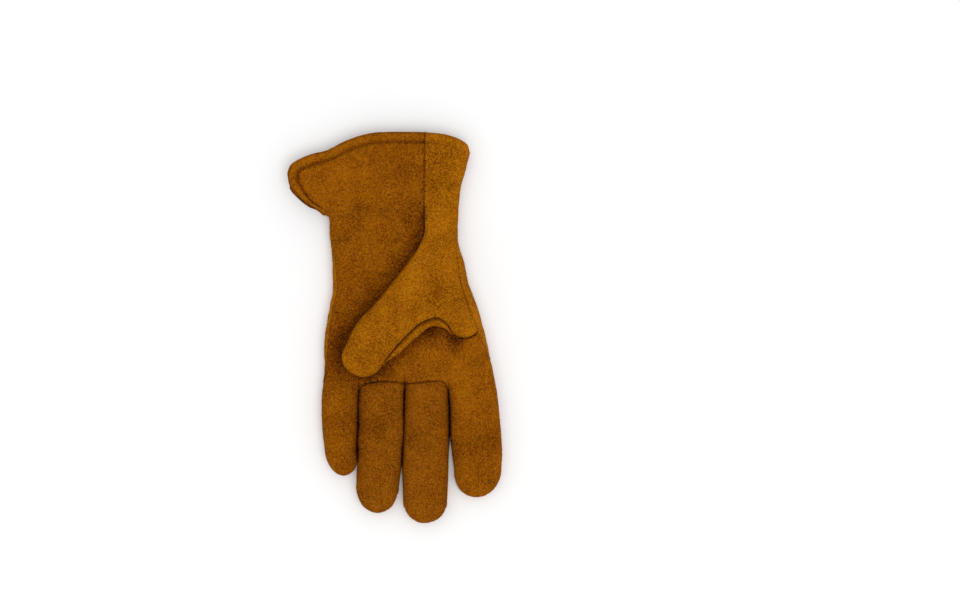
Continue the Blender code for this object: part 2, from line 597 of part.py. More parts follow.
def sheet(grids, outward_up):
    """One welded sheet from its grids, its faces turned to the outside of the glove."""
    mesh = bmesh.new()
    for grid in grids:
        rows, columns = grid.shape[:2]
        verts = [mesh.verts.new(point) for point in (grid * MM).reshape(-1, 3)]
        for i in range(rows - 1):
            for j in range(columns - 1):
                a = i * columns + j
                mesh.faces.new((verts[a], verts[a + 1], verts[a + columns + 1], verts[a + columns]))
    bmesh.ops.remove_doubles(mesh, verts=mesh.verts, dist=0.05 * MM)
    bmesh.ops.recalc_face_normals(mesh, faces=mesh.faces)
    mesh.normal_update()
    total = sum(face.normal.z * face.calc_area() for face in mesh.faces)
    if (total > 0) != outward_up:
        bmesh.ops.reverse_faces(mesh, faces=mesh.faces)
    return mesh


def is_hem(point):
    """Is a point on the open edges of the cuff or the vent?"""
    x, y = point.x / MM, point.y / MM
    on_seam = abs(x - THUMB_MOUTH_EDGE[0][0]) < 1 or x > THUMB_MOUTH_EDGE[-2][0]
    return not on_seam and ((y > 108) or (y > 71.5 and x < -35))


def edge_normals(mesh):
    """Normals at a sheet's edge, carried on from inside it, by place."""
    normals = {}
    for vert in mesh.verts:
        if vert.is_boundary:
            inner = [edge.other_vert(vert) for edge in vert.link_edges if not edge.is_boundary]
            inner = [v.normal for v in inner if not v.is_boundary] or [vert.normal]
            mean = sum(inner, vert.normal * 0) / len(inner)
            normals[place(vert.co)] = (vert.normal * 2 - mean).normalized()
    return normals


def place(point):
    return tuple(round(value / MM, 2) for value in point)


def trim_seams(mesh):
    """Pulls a sheet back from its seams and rolls its sewn edges in."""
    normals = edge_normals(mesh)
    bmesh.ops.inset_region(mesh, faces=mesh.faces, thickness=ROLL_WIDTH * MM, depth=0,
                           use_boundary=True, use_even_offset=False)
    mesh.normal_update()
    moves = {}
    for vert in mesh.verts:
        if not vert.is_boundary:
            continue
        normal = normals.get(place(vert.co), vert.normal)
        inner = [edge.other_vert(vert) for edge in vert.link_edges if not edge.is_boundary]
        into = sum((v.co - vert.co for v in inner), vert.co * 0)
        into = (into - normal * into.dot(normal)).normalized()
        roll = 0.0 if is_hem(vert.co) else SEAM_ROLL
        moves[vert] = (into * SEAM_GAP / 2 - normal * roll) * MM
    for vert, move in moves.items():
        vert.co += move
    for vert in mesh.verts:
        vert.co.z = max(vert.co.z, 0.0)


def add_panel(name, grids, outward_up, material):
    mesh = sheet(grids, outward_up)
    trim_seams(mesh)
    data = bpy.data.meshes.new(name)
    mesh.to_mesh(data)
    mesh.free()
    data.materials.append(material)
    data.shade_smooth()
    panel = bpy.data.objects.new(name, data)
    bpy.context.scene.collection.objects.link(panel)
    wall = panel.modifiers.new("wall", "SOLIDIFY")
    wall.thickness = WALL * MM
    wall.offset = -1.0
    points = np.array([vert.co for vert in data.vertices]) / MM
    on_hem = np.flatnonzero(hem_share(points[:, 0], points[:, 1]) > 0.3)
    if len(on_hem):
        hem = panel.vertex_groups.new(name="hem")
        hem.add([int(i) for i in on_hem], 1.0, "REPLACE")
        wall.thickness = HEM_WALL * MM
        wall.thickness_vertex_group = WALL / HEM_WALL
        wall.vertex_group = hem.name
    data.transform(Matrix.Translation((-BOX_MIDDLE[0] * MM, -BOX_MIDDLE[1] * MM, 0.0)))


def build_glove():
    for thing in list(bpy.data.objects):
        bpy.data.objects.remove(thing, do_unlink=True)
    hide = suede("suede", SUEDE)
    strip_hide = suede("strip_suede", STRIP_SUEDE)
    palm, fronts = palm_grids()
    add_panel("palm", palm, True, hide)
    add_panel("ring_front", [fronts["ring"]], True, hide)
    add_panel("middle_front", [fronts["middle"]], True, hide)
    add_panel("back", back_grids(), False, hide)
    add_panel("thumb_outer", thumb_outer_grids(), True, hide)
    add_panel("thumb_inner", thumb_inner_grids(), False, hide)
    for crotch, little, thumb in (("little_ring", "little", "ring"),
                                  ("ring_middle", "ring", "middle"),
                                  ("middle_index", "middle", "index")):
        add_panel("strip_" + crotch, strip_grids(crotch, little, thumb), False, strip_hide)


build_glove()
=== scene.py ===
import bmesh
import bpy
import numpy as np
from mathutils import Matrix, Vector


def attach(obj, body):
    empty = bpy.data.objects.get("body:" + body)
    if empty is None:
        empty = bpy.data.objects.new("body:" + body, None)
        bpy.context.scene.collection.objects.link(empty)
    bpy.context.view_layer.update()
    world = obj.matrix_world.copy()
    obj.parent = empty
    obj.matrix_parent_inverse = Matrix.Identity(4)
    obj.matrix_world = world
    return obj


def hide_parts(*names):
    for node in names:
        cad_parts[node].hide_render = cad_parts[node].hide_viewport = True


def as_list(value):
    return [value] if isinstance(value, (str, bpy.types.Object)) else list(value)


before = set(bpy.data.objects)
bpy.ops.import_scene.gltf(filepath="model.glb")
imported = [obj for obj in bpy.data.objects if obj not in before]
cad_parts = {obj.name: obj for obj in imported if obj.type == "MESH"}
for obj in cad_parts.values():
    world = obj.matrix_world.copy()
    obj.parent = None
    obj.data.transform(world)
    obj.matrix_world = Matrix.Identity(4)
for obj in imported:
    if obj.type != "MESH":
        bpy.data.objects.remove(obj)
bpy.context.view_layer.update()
print("the frame is in place")
mm = 0.001

# how the glove lies, and the fineness of its sheets
lay = {
    "middle": (-0.9, 0.3),      # middle of the box in the tables' plan
    "seamZ": 6.0,               # height of the side seams
    "bodyRise": 6.4,            # from there to the top of the palm
    "fingerRise": 8.4,          # and to the top of a finger
    "underRadius": 5.0,
    "bodyRadius": 8.0,
    "fingerRadius": 10.0,
    "thumbMidZ": 17.6,          # height of the folded thumb's edges
    "bedGap": 0.5,              # clear space under the thumb
    "turns": 14,                # columns round an edge
    "between": 8,               # and across the middle of a finger
    "rows": 48,                 # rows down a finger
    "tipRows": 16,
    "evened": (0.15, 0.85),     # shares of crowded and of even columns at the mouth
    "rootReach": 30.0,          # length over which a finger's rows move to the seam at its root
    "rootBlend": 10.0,          # length over which the palm's height becomes the finger's
    "outerShare": 0.6,          # where the little finger's outer side starts, from its middle at 0
    "ventY": 72.0,              # where the slit in the cuff ends
    "ventFree": 40.0,           # past there the side's rounding is put this far off
    "ventOver": 12.0,
    "flapOver": 10.0,           # length over which the underside goes flat there
    "droop": 0.8,               # how far the palm sinks towards the mouth
    "droopY": 90.0,
    "droopOver": 30.0,
}
# hollow that the folded thumb presses into the palm: a trough along a short line
hollow = {"start": (20.0, 30.0), "run": (-33.0, -50.0), "way": (-0.55, -0.83), "length": 60.0,
          "radius": 30.0, "depth": 1.6}
hand = {
    "y": (72.0, 58.0, 40.0, 26.0, 12.0, -8.0, -26.0, -42.0),
    "little": (-43.2, -42.0, -40.6, -40.3, -43.2, -45.9, -46.1, -47.4),
    "thumb": (41.5, 41.3, 45.8, 49.6, 54.5, 59.5, 63.6, 66.7),
    "cuffY": (113.5, 107.0, 100.0, 92.0, 84.0, 72.0),
    "cuffThumb": (49.0, 47.3, 45.7, 43.2, 42.3, 41.5),
}
fingers = {
    "little": {"y": (-42.0, -62.0, -82.0), "centre": (-35.6, -35.9, -34.9),
               "half": (11.8, 11.7, 10.5), "tip": 15.0, "lean": 1.5, "slits": ("", "little_ring")},
    "ring": {"y": (-42.0, -62.0, -82.0, -104.0), "centre": (-8.4, -9.0, -9.7, -11.2),
             "half": (14.4, 14.6, 14.4, 13.6), "tip": 17.4, "lean": 0.0,
             "slits": ("little_ring", "ring_middle")},
    "middle": {"y": (-42.0, -62.0, -90.0, -114.0), "centre": (20.9, 20.8, 20.1, 19.9),
               "half": (13.7, 14.3, 14.7, 14.0), "tip": 13.8, "lean": 0.0,
               "slits": ("ring_middle", "middle_index")},
    "index": {"y": (-42.0, -62.0, -80.0, -94.0), "centre": (51.2, 52.7, 53.9, 54.4),
              "half": (15.5, 16.1, 16.3, 15.2), "tip": 17.2, "lean": -1.0, "slits": ("middle_index", "")},
}
# how far the fingers swell into each slit, which they all but close near the hand
slitFill = {
    "y": (-38.0, -48.0, -62.0, -72.0, -80.0, -90.0, -100.0),
    "little_ring": (0.4, 0.3, 0.15, 0.05, 0.0, 0.0, 0.0),
    "ring_middle": (0.45, 0.35, 0.25, 0.25, 0.3, 0.3, 0.0),
    "middle_index": (0.35, 0.4, 0.5, 0.6, 0.2, 0.0, 0.0),
    "": (0.0, 0.0, 0.0, 0.0, 0.0, 0.0, 0.0),
}
crotches = {"little_ring": (-23.3, -42.0), "ring_middle": (6.6, -37.8), "middle_index": (35.1, -42.0)}
fingerCrotches = {"little": ("little_ring", "little_ring"), "ring": ("little_ring", "ring_middle"),
                  "middle": ("ring_middle", "middle_index"), "index": ("middle_index", "middle_index")}
# edges of the cuff and lines of the seams
mouthEdge = ((-69.7, 100.2), (-67.8, 105.2), (-61.3, 109.7), (-53.2, 112.9), (-45.0, 114.8),
             (-33.0, 120.7), (-22.0, 124.7), (-10.0, 126.9), (5.0, 127.2), (19.8, 127.0))
thumbMouthEdge = ((19.8, 127.0), (34.7, 125.1), (42.7, 122.2), (47.6, 118.6), (49.0, 113.5))
ventEdge = ((-69.7, 100.2), (-68.4, 92.8), (-62.9, 86.3), (-55.3, 79.8), (-48.8, 75.8), (-43.2, 72.0))
baseSeam = ((-23.3, -42.0), (-21.5, -38.6), (-17.0, -36.2), (-8.0, -34.9), (1.0, -35.2),
            (6.6, -36.8), (12.0, -36.3), (21.0, -35.2), (29.5, -34.8), (33.6, -37.6), (35.1, -42.0))
thumbHole = ((19.6, 127.0), (19.5, 96.0), (19.4, 80.0), (19.4, 66.0), (22.5, 52.0), (34.0, 18.0),
             (42.3, -6.7))
sideSeam = {"y": (70.0, 54.0, 40.0, 23.5, 11.4, -1.8, -12.0, -24.0),
            "inset": (0.0, 1.2, 4.0, 5.6, 5.6, 3.6, 1.4, 0.0)}
littleSeam = {"y": (72.0, 58.0, 42.0, 16.0, -4.0, -20.0, -40.0),
              "inset": (0.0, 0.9, 1.9, 2.8, 2.8, 1.5, 0.0)}


def smooth(keys, values, at):
    # cubic through the points, whose slopes are limited so that it never swings past them
    keys, values, at = np.asarray(keys, float), np.asarray(values, float), np.asarray(at, float)
    if keys[0] > keys[-1]:
        keys, values = keys[::-1], values[::-1]
    step = np.diff(keys)
    wide = step.reshape((-1,) + (1,) * (values.ndim - 1))
    slope = np.diff(values, axis=0) / wide
    middle = (slope[:-1] * wide[1:] + slope[1:] * wide[:-1]) / (wide[1:] + wide[:-1])
    limit = 2 * np.minimum(np.abs(slope[:-1]), np.abs(slope[1:])) * (slope[:-1] * slope[1:] > 0)
    tangent = np.concatenate([slope[:1], np.clip(middle, -limit, limit), slope[-1:]])
    at = np.clip(at, keys[0], keys[-1])
    k = np.clip(np.searchsorted(keys, at, side="right") - 1, 0, len(step) - 1)
    s = ((at - keys[k]) / step[k]).reshape(at.shape + (1,) * (values.ndim - 1))
    w = wide[k]
    return ((1 + 2 * s) * (1 - s) ** 2 * values[k] + s * (1 - s) ** 2 * w * tangent[k]
            + s * s * (3 - 2 * s) * values[k + 1] + s * s * (s - 1) * w * tangent[k + 1])


def lengthRun(points):
    # length from a line's first point to each of its points: the running sum of its steps
    return np.concatenate([[0.0], np.cumsum(np.linalg.norm(np.diff(points, axis=0), axis=1))])


def along(points, at):
    # a smooth line through points, read at fractions of its length
    points = np.asarray(points, float)
    run = lengthRun(points)
    return smooth(run / run[-1], points, at)


def fill(top, bottom, left, right, across, down):
    # Coons patch: the two pairs of edges blended, less their corners
    s, t = across[None, :, None], down[:, None, None]
    corners = ((1 - s) * (1 - t) * top[0] + s * (1 - t) * top[-1]
               + (1 - s) * t * bottom[0] + s * t * bottom[-1])
    return ((1 - t) * top[None] + t * bottom[None]
            + (1 - s) * left[:, None] + s * right[:, None] - corners)


def roundOver(distance, radius):
    # quarter circle: the root of x(2 - x), 0 at the edge and 1 a radius in
    x = np.clip(np.asarray(distance, float) / radius, 0, 1)
    return np.sqrt(x * (2 - x))


def ramp(x):
    # eased step from 0 to 1: three x squared less two x cubed
    x = np.clip(x, 0, 1)
    return x * x * (3 - 2 * x)


def bell(x, middle, width):
    # e to the minus square of (x - middle) / width
    return np.exp(-((x - middle) / width) ** 2)


def edgeSteps(radius, turns):
    # distances in from an edge that share a quarter circle evenly: radius less its cosine
    return radius * (1 - np.cos(np.linspace(0, np.pi / 2, turns + 1)))


def rowShares(rim, rimRows, rows, end=1):
    # rows on the way down from the mouth: close ones in the rim, then even ones to the end
    return np.concatenate([np.linspace(0, rim, rimRows), np.linspace(rim, end, rows)[1:]])


def discRim(u, v):
    # how far out a place of the squared disc is: 0 at its middle, 1 at its rim
    return np.sqrt(np.clip(u * u + v * v - (u * v) ** 2, 0, 1))


def stack(x, y, z):
    # three arrays as one array of points
    return np.stack(np.broadcast_arrays(x, y, z), axis=-1)


def nearLine(x, y, points, count=110):
    # distance from each place to a line, and how far along the line it is
    line = along(points, np.linspace(0, 1, count))
    step = np.diff(line, axis=0)
    fromX, fromY = np.asarray(x)[..., None] - line[:-1, 0], np.asarray(y)[..., None] - line[:-1, 1]
    share = np.clip((fromX * step[:, 0] + fromY * step[:, 1]) / (step ** 2).sum(1), 0, 1)
    gap = np.hypot(fromX - share * step[:, 0], fromY - share * step[:, 1])
    best = gap.argmin(-1)[..., None]
    share = np.take_along_axis(share, best, -1)[..., 0]
    return gap.min(-1), (best[..., 0] + share) / (count - 1)


def sideLittle(y):
    # x of the hand's side below the little finger
    return smooth(hand["y"], hand["little"], y)


def sideThumb(y):
    # x of the other side: the cuff's table above the wrist, the hand's below it
    return np.where(np.asarray(y) > hand["cuffY"][-1], smooth(hand["cuffY"], hand["cuffThumb"], y),
                    smooth(hand["y"], hand["thumb"], y))


def littleInset(y):
    # how far in from the little finger's side its seam lies
    return smooth(littleSeam["y"], littleSeam["inset"], y) * (y < littleSeam["y"][0])


def sideInset(y):
    # the same on the thumb's side
    return smooth(sideSeam["y"], sideSeam["inset"], y) * (y < sideSeam["y"][0])


def farFromSides(x, y):
    # distance to the nearer side; along the vent, which has no rounded side, it is made larger
    edge = np.array(ventEdge)
    vent = smooth(edge[:, 1], edge[:, 0], y)
    free = lay["ventFree"] * ramp((y - lay["ventY"]) / lay["ventOver"])
    left = np.where(y > lay["ventY"], x - vent + free, x - sideLittle(y))
    return np.minimum(left, sideThumb(y) - x)


def crotchNear(x):
    # y of the crotches, in straight lines from one to the next
    places = np.array(list(crotches.values()))
    return np.interp(x, places[:, 0], places[:, 1])


def slitsAway(x):
    # distance across to the nearest line between two fingers
    places = np.array([place[0] for place in crotches.values()])
    return np.abs(np.asarray(x)[..., None] - places).min(-1)


def fingerPlan(finger, u, q, v):
    # u runs across from -1 to 1, q down to the tip's start, v round the tip as a squared disc
    centre = smooth(finger["y"], finger["centre"], q)
    half = smooth(finger["y"], finger["half"], q)
    x = centre + half * u * np.sqrt(1 - v * v / 2) + finger["lean"] * v
    y = np.where(v > 0, finger["y"][-1] - finger["tip"] * v * np.sqrt(1 - u * u / 2), q)
    low, high = [smooth(slitFill["y"], slitFill[slit], q) for slit in finger["slits"]]
    x = x + (high * np.clip(u, 0, 1) ** 3 - low * np.clip(-u, 0, 1) ** 3) * (1 - v)
    return x, y, (1 - discRim(u, v)) * half


def nearElastic(y, edge):
    # 1 at the elastic, easing to 0 at its reach and at the sides
    return ramp(1 - np.abs(y - elastic["y"]) / elastic["length"]) * ramp(edge / elastic["calm"])


def underZ(x, y, edge):
    # underside: a quarter circle from the side seam down to the table, lifted a little at the elastic
    flap = ramp((y - lay["ventY"]) / lay["flapOver"]) * (x < 0)
    z = lay["seamZ"] * (1 - roundOver(edge, lay["underRadius"])) * (1 - flap)
    return z + nearElastic(y, edge) * elastic["rise"]


def palmZ(x, y):
    # palm's top: a quarter circle up from the side seams, less the droop and the thumb's hollow
    z = lay["seamZ"] + lay["bodyRise"] * roundOver(farFromSides(x, y), lay["bodyRadius"])
    z = z - lay["droop"] * ramp((y - lay["droopY"]) / lay["droopOver"])
    (startX, startY), (runX, runY), (wayX, wayY) = hollow["start"], hollow["run"], hollow["way"]
    share = np.clip(((x - startX) * wayX + (y - startY) * wayY) / hollow["length"], 0, 1)
    off = np.hypot(x - (startX + runX * share), y - (startY + runY * share))
    return z - hollow["depth"] * ramp(1 - off / hollow["radius"])


def frontZ(x, y, edge):
    # the palm's height easing into the finger's, a quarter circle up from the finger's edge
    grown = ramp(1 - (y - crotchNear(x)) / lay["rootBlend"])
    dome = lay["seamZ"] + lay["fingerRise"] * roundOver(edge, lay["fingerRadius"])
    return (1 - grown) * palmZ(x, y) + grown * dome


def fingerU(finger):
    # columns across a finger from -1 to 1, crowded at both edges
    steps = 1 - edgeSteps(lay["fingerRadius"], lay["turns"]) / finger["half"][0]
    middle = np.linspace(-steps[-1], steps[-1], lay["between"])[1:-1]
    return np.concatenate([-steps, middle, steps[::-1]])


def fingerRows(finger):
    # rows down a finger by y, then round its tip by the sine of an even angle
    rows, tip, tipY = lay["rows"], lay["tipRows"], finger["y"][-1]
    q = np.concatenate([np.linspace(finger["y"][0], tipY, rows + 1), np.full(tip, tipY)])
    v = np.concatenate([np.zeros(rows + 1), np.sin(np.linspace(0, np.pi / 2, tip + 1)[1:])])
    return q[:, None], v[:, None]


def rootShift(finger, x, q, v):
    # moves a front's first rows up to the seam at the finger's root
    seam = np.array(baseSeam)
    share = ramp(1 - (finger["y"][0] - q) / lay["rootReach"]) * (v == 0)
    seamY = smooth(seam[:, 0], seam[:, 1], np.clip(x, seam[0, 0], seam[-1, 0]))
    return share * (seamY - finger["y"][0])


def frontGrid(name):
    # one finger's front: its plan, moved up to the root seam, at the front's height
    finger = fingers[name]
    u = fingerU(finger)[None]
    q, v = fingerRows(finger)
    x, y, edge = fingerPlan(finger, u, q, v)
    y = y + rootShift(finger, x[0], q, v)
    if name == "little":
        start = lay["outerShare"]
        outer = (u < -start) * littleInset(y) * ramp((-start - u) / (1 - start))
        x, edge = x + outer, edge + outer
    return stack(x, y, frontZ(x, y, edge))


def raised(plan):
    # a plan of the palm lifted to the front's height
    x, y = plan[..., 0], plan[..., 1]
    return stack(x, y, frontZ(x, y, np.minimum(slitsAway(x), farFromSides(x, y))))


def evened(across):
    # columns crowd at the fingers' sides, and spread out evenly towards the mouth
    crowded, even = lay["evened"]
    return crowded * across + even * np.linspace(0, 1, len(across))


palmSheet = {
    "cornerX": 45.7,            # the thumb hole's lower corner is over this place of the fingers' roots
    "rim": 0.06,                # share of the way down that has close rows
    "rimRows": 14,
    "upperRows": 84,
    "ventRows": 50,
    "lowerRows": 26,
}


def palmGrids(fronts):
    # Coons patch from the mouth to the thumb hole's corner, then straight columns to the fingers' roots
    others = [fronts[name][0][1:] for name in ("ring", "middle", "index")]
    base = np.concatenate([fronts["little"][0]] + others)
    corner = int(np.argmin(np.abs(base[:, 0] - palmSheet["cornerX"])))
    hole = np.array(thumbHole)
    down = rowShares(palmSheet["rim"], palmSheet["rimRows"], palmSheet["upperRows"])
    ventRows = palmSheet["ventRows"]
    leftY = np.linspace(lay["ventY"], hole[-1, 1], len(down) - ventRows)
    vent = along(ventEdge, np.linspace(0, 1, ventRows + 1)[:-1])
    left = np.concatenate([vent, np.stack([sideLittle(leftY) + littleInset(leftY), leftY], axis=1)])
    across = (base[:corner + 1, 0] - base[0, 0]) / (base[corner, 0] - base[0, 0])
    footX = left[-1, 0] + (hole[-1, 0] - left[-1, 0]) * across
    footY = np.interp(footX, [left[-1, 0], hole[-1, 0]], [left[-1, 1], hole[-1, 1]])
    foot = np.stack([footX, footY], axis=1)
    upper = fill(along(mouthEdge, evened(across)), foot, left, along(hole, down), across, down)
    rowTop = np.concatenate([foot, holeFoot(len(base) - corner)[1:]])
    lowDown = np.linspace(0, 1, palmSheet["lowerRows"])[:, None]
    lowY = rowTop[:, 1] + (base[:, 1] - rowTop[:, 1]) * lowDown
    start, end = sideLittle(lowY) + littleInset(lowY), sideThumb(lowY) - sideInset(lowY)
    topPart = (rowTop[:, 0] - start[0]) / (end[0] - start[0])
    basePart = (base[:, 0] - start[-1]) / (end[-1] - start[-1])
    lower = np.stack([start + (end - start) * (topPart + (basePart - topPart) * lowDown), lowY], axis=-1)
    body = [raised(upper), raised(lower)]
    body[1][-1] = base
    return body + [fronts["little"], fronts["index"]]


# far edge, near edge, heights of the far edge, crown and near edge, radii of the edges, steepness, bow
thumbColumns = ("farX", "farY", "nearX", "nearY", "zFar", "zCrown", "zNear", "rFar", "rNear", "steep", "bow")
thumbTable = (      # rows from the cuff to the start of the tip
    (19.6, 127.0, 49.0, 113.5, 11.6, 11.6, 6.0, 8.0, 8.0, 0.5, 0.0),
    (19.5, 112.0, 47.2, 105.0, 11.8, 11.8, 6.0, 8.0, 8.0, 0.5, 0.0),
    (19.5, 96.0, 43.6, 93.0, 12.2, 12.2, 6.0, 8.0, 8.0, 0.5, 0.0),
    (19.4, 80.0, 41.8, 78.0, 12.4, 12.6, 6.0, 8.0, 8.5, 0.5, 0.0),
    (19.4, 64.0, 41.4, 61.0, 12.6, 14.6, 6.0, 6.0, 11.0, 0.55, 0.0),
    (16.0, 53.0, 41.7, 41.0, 16.6, 18.8, 9.0, 7.0, 15.0, 0.8, 0.0),
    (10.5, 44.5, 44.8, 23.5, 17.6, 21.6, 11.6, 8.0, 17.0, 1.0, 0.0),
    (7.0, 39.5, 49.1, 11.4, 17.6, 22.6, 11.8, 9.0, 19.0, 1.0, 0.0),
    (4.0, 35.8, 54.5, -1.8, 17.6, 23.2, 11.0, 9.0, 21.0, 1.0, 1.0),
    (2.0, 33.0, 45.8, -7.2, 17.6, 23.2, 12.4, 9.0, 19.0, 0.9, 4.0),
    (0.0, 30.5, 39.3, -5.2, 17.6, 23.6, 12.5, 10.0, 14.0, 0.7, 5.0),
    (-2.5, 27.4, 34.3, 2.4, 17.6, 24.0, 19.0, 10.0, 12.0, 0.55, 2.5),
    (-6.5, 22.4, 27.9, 6.4, 17.6, 24.0, 20.6, 10.0, 10.0, 0.5, 0.0),
    (-14.5, 13.2, 18.4, 3.4, 17.6, 24.0, 20.6, 10.0, 10.0, 0.5, 0.0),
    (-24.5, 2.4, 3.6, -10.0, 17.6, 24.0, 20.0, 10.0, 10.0, 0.5, 0.0),
    (-33.3, -16.0, -7.6, -24.2, 17.6, 23.6, 17.6, 10.0, 10.0, 0.5, 0.0),
)
thumb = {
    "tip": 12.0,                # length of the round tip
    "tipRows": 15,
    "sideRows": 8,              # down to this row of the table the near edge is the side seam
    "holeCorner": 9.5,          # row of the thumb hole's lower corner
    "mouthRow": 0.7,            # outer panel: its close rows end here, and their number
    "mouthRows": 14,
    "outerRows": 150,
    "outerTurns": 12,
    "outerBetween": 9,
    "mouthFade": 3.0,           # the mouth's curve is blended in down to this row
    "liftRow": 5.05,            # inner panel: where its far and near edges start
    "cornerRow": 9.95,
    "innerRows": 66,
    "innerBunch": 0.8,          # below 1 the far edge's rows draw ahead of the near edge's
    "innerRadius": 5.0,
    "innerTurns": 8,
    "innerBetween": 16,
}


def thumbRow(at):
    # the table read between its rows; on the side the near edge is the seam, at the palm's height
    row = dict(zip(thumbColumns, smooth(np.arange(len(thumbTable)), thumbTable, at).T))
    inset = sideInset(row["nearY"])
    onSide = at <= thumb["sideRows"]
    row["nearX"] = np.where(onSide, sideThumb(row["nearY"]) - inset, row["nearX"])
    sideZ = lay["seamZ"] + lay["bodyRise"] * roundOver(inset, lay["bodyRadius"])
    row["zNear"] = np.where(onSide, sideZ, row["zNear"])
    return row


def holeFoot(count):
    # the thumb hole's lower edge, from its corner out to the side
    row = thumbRow(np.linspace(thumb["holeCorner"], thumb["sideRows"], count))
    return np.stack([row["nearX"], row["nearY"]], axis=1)


def thumbTipGrid(u, side):
    # half of the round tip, above its middle (side 1) or below it (side -1), on a squared disc
    end = dict(zip(thumbColumns, thumbTable[-1]))
    far, near = np.array((end["farX"], end["farY"])), np.array((end["nearX"], end["nearY"]))
    middle, half = (far + near) / 2, (near - far) / 2
    width = np.hypot(*half)
    ahead = np.array((half[1], -half[0])) / width * thumb["tip"]
    v = np.sin(np.linspace(0, np.pi / 2, thumb["tipRows"]))[:, None]
    u = u[None]
    a, b = u * np.sqrt(1 - v * v / 2), v * np.sqrt(1 - u * u / 2)
    x, y = middle[0] + a * half[0] + b * ahead[0], middle[1] + a * half[1] + b * ahead[1]
    rise = roundOver((1 - discRim(u, v)) * width, end["rFar"])
    top = end["zCrown"] if side > 0 else palmZ(x, y) + lay["bedGap"]
    return stack(x, y, lay["thumbMidZ"] + (top - lay["thumbMidZ"]) * rise)


def thumbOuterGrids():
    # straight rows from the far edge (s = 0) to the near one (s = 1), each edge a quarter circle, the near
    # one to a power; a row bows by s squared times (1 - s), which 6.75 brings to a height of 1
    last = len(thumbTable) - 1
    at = rowShares(thumb["mouthRow"], thumb["mouthRows"], thumb["outerRows"], last)
    row = {k: v[:, None] for k, v in thumbRow(at).items()}
    length = np.hypot(row["nearX"] - row["farX"], row["nearY"] - row["farY"])
    steps = edgeSteps(1.0, thumb["outerTurns"])
    farPart, nearPart = row["rFar"] / length, row["rNear"] / length
    between = np.linspace(0, 1, thumb["outerBetween"])[1:-1]
    s = np.concatenate([steps * farPart, farPart + (1 - nearPart - farPart) * between,
                        1 - steps[::-1] * nearPart], axis=1)
    x = row["farX"] + (row["nearX"] - row["farX"]) * s
    y = row["farY"] + (row["nearY"] - row["farY"]) * s
    bend = row["bow"] * 6.75 * s * s * (1 - s) / length
    x, y = x - (row["nearY"] - row["farY"]) * bend, y + (row["nearX"] - row["farX"]) * bend
    mouth = along(thumbMouthEdge, s[0])
    fade = (1 - ramp(at / thumb["mouthFade"]))[:, None]
    x, y = x + fade * (mouth[:, 0] - x[0]), y + fade * (mouth[:, 1] - y[0])
    far = roundOver(s * length, row["rFar"])
    near = roundOver((1 - s) * length, row["rNear"]) ** (2 * row["steep"])
    crown = row["zCrown"]
    z = crown - (crown - row["zFar"]) * (1 - far) - (crown - row["zNear"]) * (1 - near)
    return [stack(x, y, z), thumbTipGrid(s[-1] * 2 - 1, 1)]


# lower edge of the inner panel where it shows as a lip
lipEdge = ((39.0, -5.2), (36.6, -3.4), (34.0, -1.3), (31.0, 0.0), (27.2, 0.7), (23.3, 0.0), (18.5, -3.2),
           (13.7, -7.4), (6.9, -13.6), (0.4, -19.3), (-5.4, -24.0), (-9.8, -26.9))
lip = {
    "begins": 0.1,              # share of the length over which it comes out from behind the corner
    "ends": 0.2,                # and over which it goes back in at the tip
    "tuck": 3.5,                # how far in and how far down its start is tucked
    "tuckDrop": 0.9,
    "lifts": 0.2,               # share over which its edge comes up off the palm
    "rooted": 0.82,             # the far edge's height at the root, as a share, and its growth to 1
    "rootedOver": 0.12,
    "columns": 8,
}


